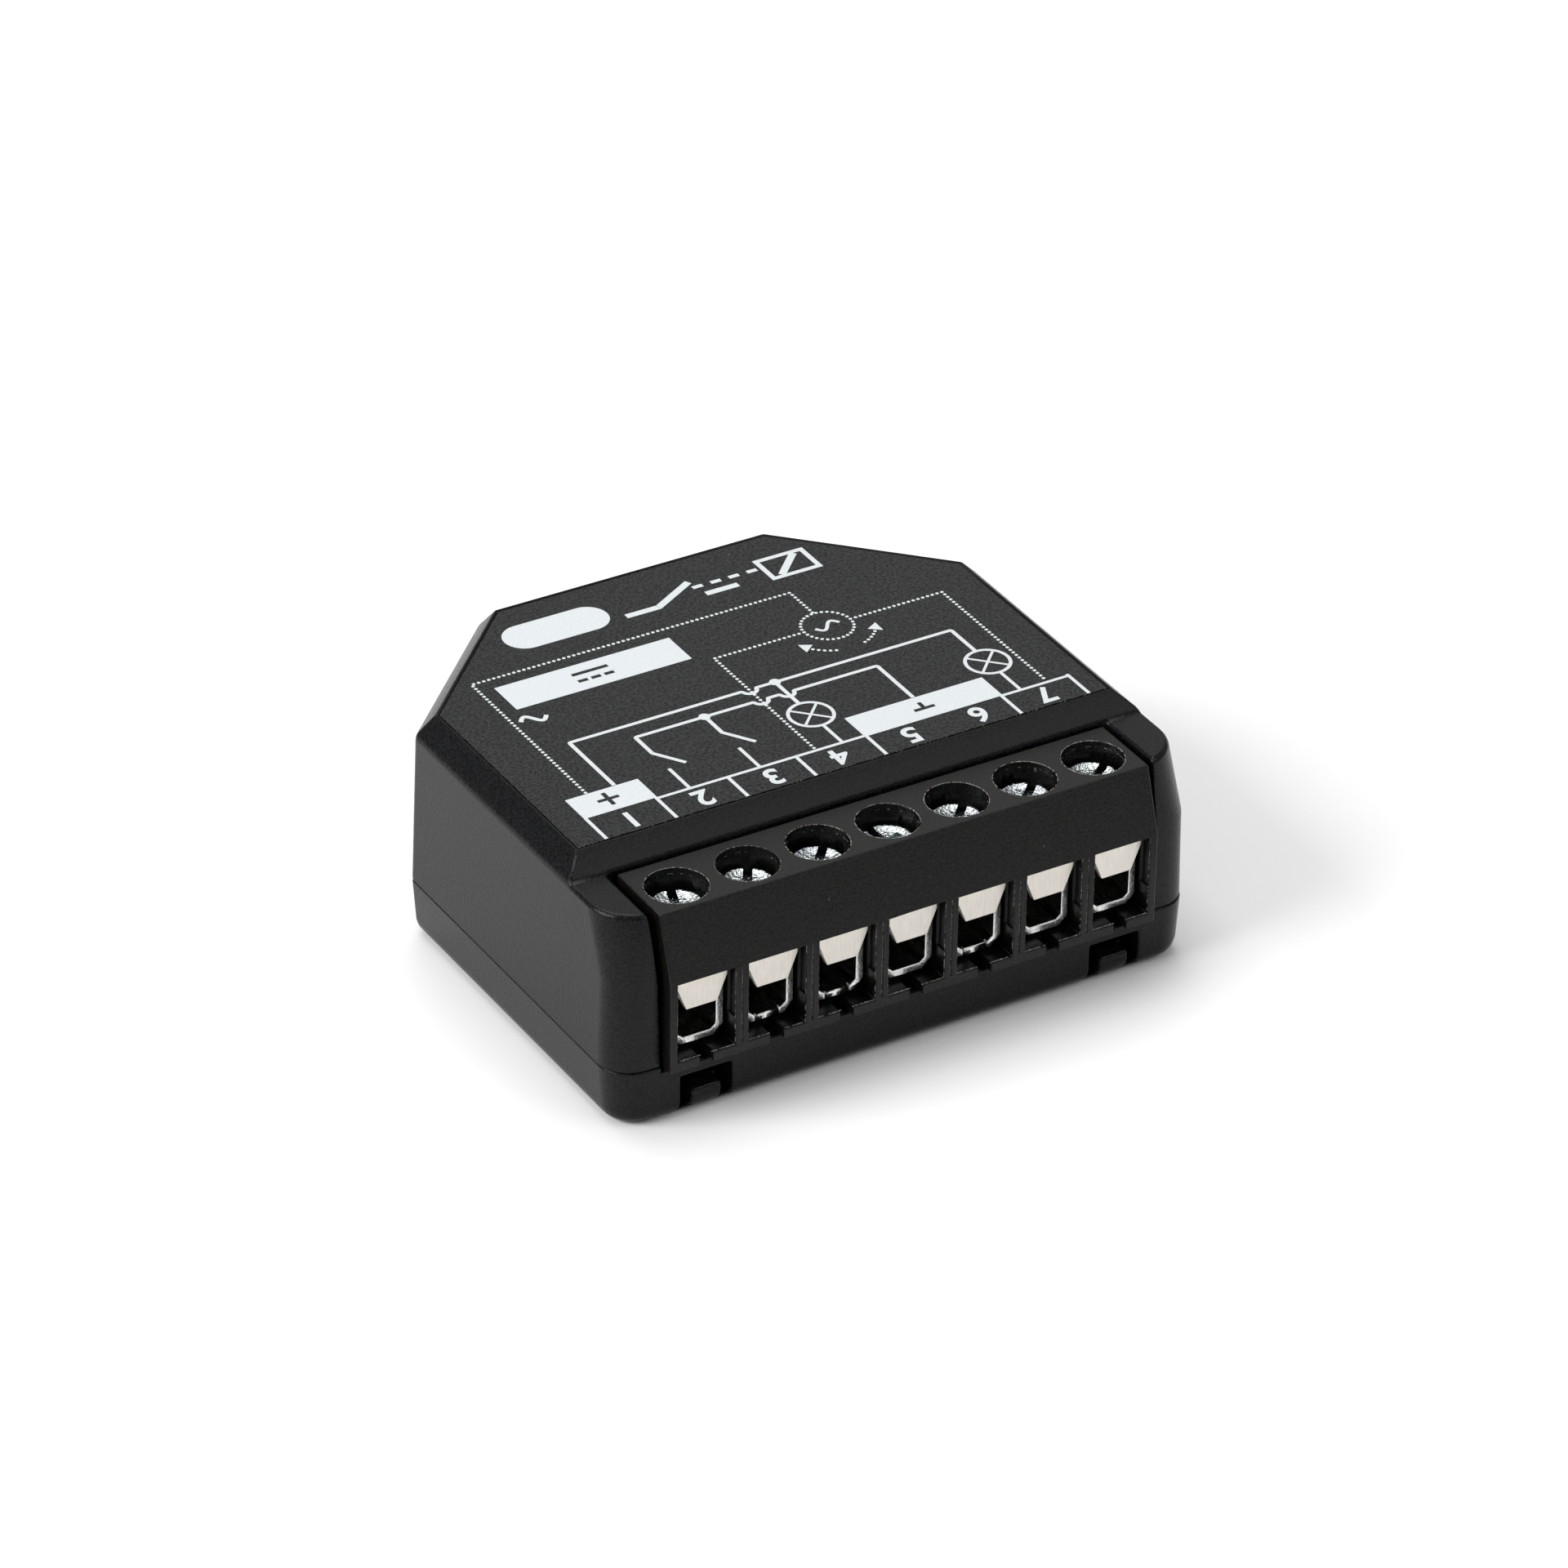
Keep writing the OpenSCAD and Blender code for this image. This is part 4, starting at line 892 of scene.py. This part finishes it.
def arc_points(x, y, radius, start, end, step=12):
    count = max(2, round(abs(end - start) / step))
    angles = [math.radians(start + (end - start) * k / count) for k in range(count + 1)]
    return [(x + radius * math.cos(a), y + radius * math.sin(a)) for a in angles]


def hole_rings(radius, z):
    return [[(*point, z) for point in arc_points(x, SCREW_Y, radius, 0, 350, 10)] for x in pole_x.values()]


sills, jambs = [], []
for x in pole_x.values():
    for side in (-1, 1):
        port_x, notch_x = x + side * PORT_HALF, x + side * NOTCH_HALF
        sills.append([(port_x, FLASH_Y, PORT_LOW + 0.02), (notch_x, FLASH_Y, PORT_LOW + 0.02)])
        jambs.append([(port_x, FLASH_Y, PORT_LOW), (port_x, FLASH_Y, PORT_HIGH)])
rims = hole_rings(HOLE_RADIUS + 0.04, BLOCK_TOP - 0.02)
hole_walls = hole_rings(HOLE_RADIUS, BLOCK_TOP - 0.42)
seam_lines = [[(x, FLASH_Y, PORT_LOW + 0.1), (x, FLASH_Y, PORT_HIGH)] for x in seams]
flash_rows = [
    grown(flash_row, paths, cyclic, Spacing=spacing * MM, Chance=chance, Long=long * MM,
          Thick=thick * MM, Seed=seed, Finish=flash_and_painted_highlight)
    for paths, cyclic, spacing, chance, long, thick, seed in (
        (rims, True, 0.11, 0.62, 0.3, 0.09, 3), (hole_walls, True, 0.2, 0.3, 0.3, 0.05, 4),
        (sills, False, 0.12, 0.75, 0.36, 0.09, 5), (jambs, False, 0.16, 0.45, 0.42, 0.07, 8),
        (seam_lines, False, 0.14, 0.7, 0.34, 0.08, 9))]
new_piece("block_flash_and_painted_highlight", joined(flash_rows), flash_and_painted_highlight, "terminal_block", False)


# Contacts: tinned strip, punched and bent. The front plate closes the upper
# half of each port, and the tongue under it is what a wire is pressed against.
contact_tin = metal_finish(
    "contact_tin", (0.64, 0.605, 0.55), (0.70, 0.66, 0.605), (0.36, 0.48), 12000.0, (1.0, 1.0, 0.08),
    0.003, 0.14)
# painted shade: the tin is painted nearly black from 17.75 mm to 17.1 mm in front of the middle, where it
# runs back into the shade of the port
SHADE_START_Y, SHADE_FULL_Y = -17.75, -17.1
tree = contact_tin.node_tree
depth = put(tree, "ShaderNodeSeparateXYZ", {0: place_in(tree)}, "Y")
marked(contact_tin, ranged(tree, depth, SHADE_START_Y * MM, SHADE_FULL_Y * MM), (0.035, 0.030, 0.024))
for pole in POLES:
    softened_piece(f"contact_{pole}", f"contact_plate_{pole}", contact_tin, 0.06)


# Cages: nickelled strip bent round to a box, with the screw's thread in its
# top. On three of them the end of the strip shows as a tab between two slits.
cage_nickel = metal_finish(
    "cage_nickel", (0.60, 0.60, 0.59), (0.80, 0.80, 0.79), (0.14, 0.28), 5000.0, (1.0, 0.2, 1.0),
    0.006, 0.06)
CAGE_FRONT, CAGE_LOW, BAR = -17.25, 4.9, 0.5
TABBED = (2, 3, 5)
TAB_HALF, TAB_REACH, SLIT = 0.85, 0.3, 0.12
for pole in POLES:
    cage = softened_copy(f"clamp_cage_{pole}", 0.08)
    if pole in TABBED:
        sides = (pole_x[pole] - TAB_HALF, pole_x[pole] + TAB_HALF)
        slits = [((x - SLIT / 2, CAGE_FRONT - 1.0, CAGE_LOW - 1.0),
                  (x + SLIT / 2, CAGE_FRONT + TAB_REACH, CAGE_LOW + BAR + 0.12)) for x in sides]
        cage = evened(cut_by(cage, slits))
    new_piece(f"cage_{pole}", cage, cage_nickel, f"clamp_cage_{pole}")


# Screws: zinc-plated steel, with a rolled thread, and a slot and a cross struck
# in the dished head. Each was left at its own turn.
screw_zinc = metal_finish(
    "screw_zinc", (0.40, 0.44, 0.45), (0.80, 0.84, 0.86), (0.10, 0.24), 5200.0, (1.0, 1.0, 0.12),
    0.03, 0.03)
SHANK, CORE, PITCH = 1.25, 1.04, 0.45
HEAD_LOW, HEAD_TOP, HEAD_RADIUS = 11.9, 13.4, 1.8
SLOT_HALF, SLOT_LOW, CROSS_HALF = 0.3, 12.75, 1.15
slot_turn = {1: 73, 2: 58.9, 3: 47, 4: 104, 5: 43, 6: 40, 7: 29}
shank_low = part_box("terminal_screw_1")[0][2] / MM
thread = [(CORE - 0.3, shank_low), (CORE, shank_low + 0.2)]
for turn in range(int((HEAD_LOW - shank_low - 0.5) / PITCH)):
    root = shank_low + 0.25 + turn * PITCH
    thread += [(CORE, root), (SHANK, root + 0.18), (SHANK, root + 0.26), (CORE, root + 0.42)]
head = [(CORE, HEAD_LOW), (1.6, HEAD_LOW), (1.76, HEAD_LOW + 0.06), (HEAD_RADIUS, HEAD_LOW + 0.2),
        (HEAD_RADIUS, HEAD_TOP - 0.3), (1.77, HEAD_TOP - 0.13), (1.69, HEAD_TOP - 0.03), (1.58, HEAD_TOP),
        (1.46, HEAD_TOP - 0.04), (1.3, HEAD_TOP - 0.16), (0.9, HEAD_TOP - 0.2), (0.4, HEAD_TOP - 0.21)]
struck = [((-3, -SLOT_HALF, SLOT_LOW), (3, SLOT_HALF, 15)),
          ((-SLOT_HALF, -CROSS_HALF, SLOT_LOW), (SLOT_HALF, CROSS_HALF, 15))]
for pole in POLES:
    mesh = softened(turned(thread + head, Matrix.Identity(4), 48), 0.03, 1, struck)
    mesh.transform(Matrix.Translation(Vector((pole_x[pole], SCREW_Y, 0)) * MM) @ Matrix.Rotation(
        math.radians(slot_turn[pole]), 4, "Z"))
    new_piece(f"screw_{pole}", mesh, screw_zinc, f"terminal_screw_{pole}")


# Upper shell: the moulded black hood, with a bevel round its top, a recess for
# the label and two posts that frame the terminal block.
softened_piece("upper_shell_moulding", "upper_shell", shell_plastic, 0.3, 3, crisp_above=15.7)


# Label: a matt charcoal film in the recess of the upper shell. Its cut front
# edge has a few burrs.
label_film = moulded_finish(
    "label_film", (0.0002, 0.0002, 0.0003), (0.0285, 0.0295, 0.0300), (0.30, 0.38), 5200, 0.010, 0.02, 0.19)
FILM_TOP, FILM_FRONT, FILM_HALF = 15.985, -9.75, 19.0
CUT_FROM, CUT_BACK = -9.7, 0.06
sheet = frame["nodes"]["label_plate"].data.copy()
for corner in sheet.vertices:
    corner.co.z = min(corner.co.z, FILM_TOP * MM)
    if corner.co.y < CUT_FROM * MM:
        corner.co.y += CUT_BACK * MM
new_piece("label_film_sheet", softened(sheet, 0.03), label_film, "label_plate")
# the burrs share the flash's pale finish, partly a painted highlight on the film's cut edge
burrs = grown(flash_row, [[(side * FILM_HALF, FILM_FRONT, FILM_TOP - 0.03) for side in (-1, 1)]],
              Spacing=0.3 * MM, Chance=0.35, Long=0.22 * MM, Thick=0.05 * MM, Seed=11, Finish=flash_and_painted_highlight)
new_piece("film_burrs", burrs, flash_and_painted_highlight, "label_plate", False)


# Label print: white ink, screen-printed in one pass. A wiring diagram runs
# from the terminal cells to lamps, switches and a motor, in lines and dots.
INK_THICK = 0.008
INK_STEP, INK_STEPS = 0.0006, 14
INK_Z = FILM_TOP
label_ink, tree, shader = new_finish("label_ink", (0.66, 0.69, 0.71), 0.5)
film_grain = ranged(tree, noise_in(tree, 8000.0, 2.0), 0.3, 0.7)
ink_tone = mixed(tree, film_grain, (0.585, 0.62, 0.64), (0.69, 0.725, 0.745))
fed(shader, Base_Color=ink_tone, Roughness=ranged(tree, film_grain, 0.0, 1.0, 0.42, 0.58))
bumped(tree, shader, film_grain, 0.002)

ink_line, ink_in = growth_tree("ink_line", Width="Float", Thick="Float", Corner="Float")
eased = put(ink_line, "GeometryNodeFilletCurve", {
    "Curve": ink_in["Path"], "Count": 3, "Radius": ink_in["Corner"], "Limit Radius": True}, mode="POLY")
level = put(ink_line, "GeometryNodeSetCurveNormal", {"Curve": eased}, mode="Z_UP")
ribbon = put(ink_line, "GeometryNodeCurvePrimitiveQuadrilateral", {
    "Width": ink_in["Width"], "Height": ink_in["Thick"]}, mode="RECTANGLE")
end_growth(ink_line, ink_in, swept(ink_line, level, ribbon), False)

ink_dots, dots_in = growth_tree("ink_dots", Spacing="Float", Radius="Float", Thick="Float")
dot_spots = put(ink_dots, "GeometryNodeResampleCurve", {
    "Curve": dots_in["Path"], "Length": dots_in["Spacing"]}, mode="LENGTH")
dot = put(ink_dots, "GeometryNodeMeshCylinder", {
    "Vertices": 10, "Radius": dots_in["Radius"], "Depth": dots_in["Thick"]})
end_growth(ink_dots, dots_in, put(ink_dots, "GeometryNodeInstanceOnPoints", {
    "Points": dot_spots, "Instance": dot}), False)

RAIL, THIN, FINE = 0.28, 0.24, 0.18
FONT_SHARE = 1.38
prints = []
strokes = []


def ink_height():
    """Strokes that cross lie one on the other, not in each other."""
    strokes.append(len(strokes) % INK_STEPS)
    return INK_Z + INK_STEP * strokes[-1]


def on_film(points):
    height = ink_height()
    return [(x, y, height) for x, y in points]


def ink_lines(width, *paths, cyclic=False, corner=0.12):
    prints.append(grown(ink_line, [on_film(path) for path in paths], cyclic, Width=width * MM,
                        Thick=INK_THICK * MM, Corner=corner * MM, Finish=label_ink))


def ink_dotted(*paths, cyclic=False):
    prints.append(grown(ink_dots, [on_film(path) for path in paths], cyclic, Spacing=0.36 * MM,
                        Radius=0.12 * MM, Thick=INK_THICK * MM, Finish=label_ink))


def ink_area(*outlines):
    """A printed area; an outline inside another is left bare."""
    area = bpy.data.curves.new("ink", "CURVE")
    area.dimensions = "2D"
    area.fill_mode = "BOTH"
    area.extrude = INK_THICK * MM / 2
    for outline in outlines:
        spline = area.splines.new("POLY")
        spline.points.add(len(outline) - 1)
        for knot, (x, y) in zip(spline.points, outline):
            knot.co = (x * MM, y * MM, 0, 1)
        spline.use_cyclic_u = True
    mesh = settled(in_scene("ink", area))
    mesh.transform(Matrix.Translation((0, 0, ink_height() * MM)))
    prints.append(mesh)


def box_outline(x, y, wide, high):
    return [(x - wide / 2, y - high / 2), (x + wide / 2, y - high / 2),
            (x + wide / 2, y + high / 2), (x - wide / 2, y + high / 2)]


def plus_outline(x, y, reach, thick):
    r, t = reach, thick / 2
    return [(x + a, y + b) for a, b in (
        (-t, -r), (t, -r), (t, -t), (r, -t), (r, t), (t, t),
        (t, r), (-t, r), (-t, t), (-r, t), (-r, -t), (-t, -t))]


def earth_outline(x, y, reach, thick):
    r, t = reach, thick / 2
    return [(x + a, y + b) for a, b in (
        (-r, -t), (r, -t), (r, t), (t, t), (t, r), (-t, r), (-t, t), (-r, t))]


def ink_number(text, x, y, tall):
    """A numeral, a little bold, that reads from behind the module."""
    letter = bpy.data.curves.new("numeral", "FONT")
    letter.body = text
    letter.size = tall * MM * FONT_SHARE
    letter.align_x = "CENTER"
    letter.align_y = "CENTER"
    letter.offset = 0.06 * MM
    letter.extrude = INK_THICK * MM / 2
    mesh = settled(in_scene("numeral", letter))
    mesh.transform(Matrix.Translation((x * MM, y * MM, ink_height() * MM)) @ Matrix.Rotation(math.pi, 4, "Z"))
    prints.append(mesh)


def hop(x, y):
    """The half ring where one line passes over another."""
    return arc_points(x, y, 0.5, 180, 360, 20)


def wave_points(x, y, reach, rise):
    """One turn of a wave, the sign for alternating current."""
    return [(x + reach * k / 8, y + rise * math.sin(math.pi * k / 8)) for k in range(-8, 9)]


CELL_TOP, CELL_END = -7.2, -9.73
CELL_SIDES = (-17.1, -12.15, -7.1, -2.2, 2.88, 12.79, 17.8)
RAIL_1, RAIL_2 = 1.1, -0.35
SUPPLY_X, CROSSING_X, RETURN_X = -13.67, -0.7, 7.85
SWITCHES = (-9.77, -4.75)
BLADE, BLADE_TOP, BLADE_LOW = 1.3, -2.5, -4.45
LAMPS = (14.25, 1.2)
LAMP_Y, LAMP_RADIUS = -3.35, 1.45
LAMP_TOP, LAMP_LOW = LAMP_Y + LAMP_RADIUS, LAMP_Y - LAMP_RADIUS
ink_lines(RAIL,
          [(SUPPLY_X, -4.6), (SUPPLY_X, RAIL_1), *hop(CROSSING_X, RAIL_1), (LAMPS[0], RAIL_1),
           (LAMPS[0], LAMP_TOP)],
          [(SWITCHES[0] + BLADE, BLADE_LOW), (SWITCHES[0], BLADE_TOP), (SWITCHES[0], RAIL_2),
           *hop(CROSSING_X, RAIL_2), *hop(LAMPS[1], RAIL_2), (RETURN_X, RAIL_2), (RETURN_X, -4.75)],
          [(SWITCHES[1], RAIL_2), (SWITCHES[1], BLADE_TOP), (SWITCHES[1] + BLADE, BLADE_LOW)],
          [(LAMPS[1], RAIL_1), (LAMPS[1], LAMP_TOP)])
ink_lines(THIN, *([(x, -4.58), (x, CELL_TOP)] for x in SWITCHES),
          *([(x, LAMP_LOW), (x, CELL_TOP)] for x in LAMPS),
          *([(x, CELL_TOP + 0.1), (x, CELL_END)] for x in CELL_SIDES),
          [(-12.1, CELL_TOP), (2.9, CELL_TOP)], [(12.8, -7.3), (17.92, -7.3)])
ink_lines(THIN, *(arc_points(x, LAMP_Y, LAMP_RADIUS, 0, 350, 10) for x in LAMPS), cyclic=True, corner=0)
cross = LAMP_RADIUS * math.sqrt(0.5)
ink_lines(FINE, *([(x - side * cross, LAMP_Y - cross), (x + side * cross, LAMP_Y + cross)]
                  for x in LAMPS for side in (-1, 1)))
for x, y in ((LAMPS[1], RAIL_1), (-4.78, RAIL_2)):
    ink_area(arc_points(x, y, 0.38, 0, 345, 15))

MOTOR = MOTOR_X, MOTOR_Y = 7.65, 5.45
ink_dotted([(-15.65, -4.5), (-15.65, 10.15), (MOTOR_X, 10.15), (MOTOR_X, 7.3)],
           [(9.75, MOTOR_Y), (16.25, MOTOR_Y), (16.25, -6.8)],
           [(5.55, MOTOR_Y), (CROSSING_X, MOTOR_Y), (CROSSING_X, -6.9)],
           arc_points(*MOTOR, 3.1, -42, -70, 4), arc_points(*MOTOR, 3.1, -110, -138, 4))
ink_dotted(arc_points(*MOTOR, 1.72, 0, 350, 10), cyclic=True)
ink_lines(THIN, wave_points(*MOTOR, 0.9, 0.42), corner=0)
for tip, foot in ((-22, -38), (-158, -142)):
    ink_area([arc_points(*MOTOR, radius, angle, angle)[0]
              for radius, angle in ((3.1, tip), (3.6, foot), (2.6, foot))])

# supply bars with their signs left bare, and the bare plate at the back
ink_area(box_outline(-14.62, -5.88, 5.15, 2.45), plus_outline(-14.76, -5.79, 0.75, 0.3))
ink_area(box_outline(7.83, -6.05, 10.13, 2.5), earth_outline(7.8, -6.2, 0.75, 0.3))
ink_area(box_outline(-8.27, 7.62, 12.67, 2.95), box_outline(-8.3, 8.05, 2.6, 0.32),
         *(box_outline(-8.3 + 0.95 * k, 7.2, 0.7, 0.32) for k in (-1, 0, 1)))
PLATE_LEFT, PLATE_RIGHT, PLATE_Y, PLATE_RADIUS = -9.88, -5.32, 13.69, 1.47
ink_area(arc_points(PLATE_RIGHT, PLATE_Y, PLATE_RADIUS, -90, 90, 9)
         + arc_points(PLATE_LEFT, PLATE_Y, PLATE_RADIUS, 90, 270, 9))
ink_lines(0.3, wave_points(-14.2, 4.7, 0.9, -0.45), corner=0)

# a relay's sign: the coil, its link and the contact that it moves
BOLD = 0.5
ink_lines(BOLD, box_outline(9.4, 13.4, 3.4, 2.4), cyclic=True, corner=0)
ink_lines(BOLD, [(8.4, 12.4), (10.4, 14.4)], [(-3.0, 12.7), (-0.6, 12.7), (2.6, 14.5)],
          [(2.9, 12.7), (5.3, 12.7)])
ink_lines(0.35, *([(x, 13.75), (x - 0.75, 13.75)] for x in (7.3, 5.95, 4.6, 3.25)))

NUMBER_Y, NUMBER_TALL = -8.45, 1.75
for number, x in enumerate((-14.7, -9.6, -4.6, 0.2, 5.4, 10.4, 15.3), 1):
    ink_number(str(number), x, NUMBER_Y, NUMBER_TALL)
new_piece("label_print", joined(prints), label_ink, "label_plate", False)
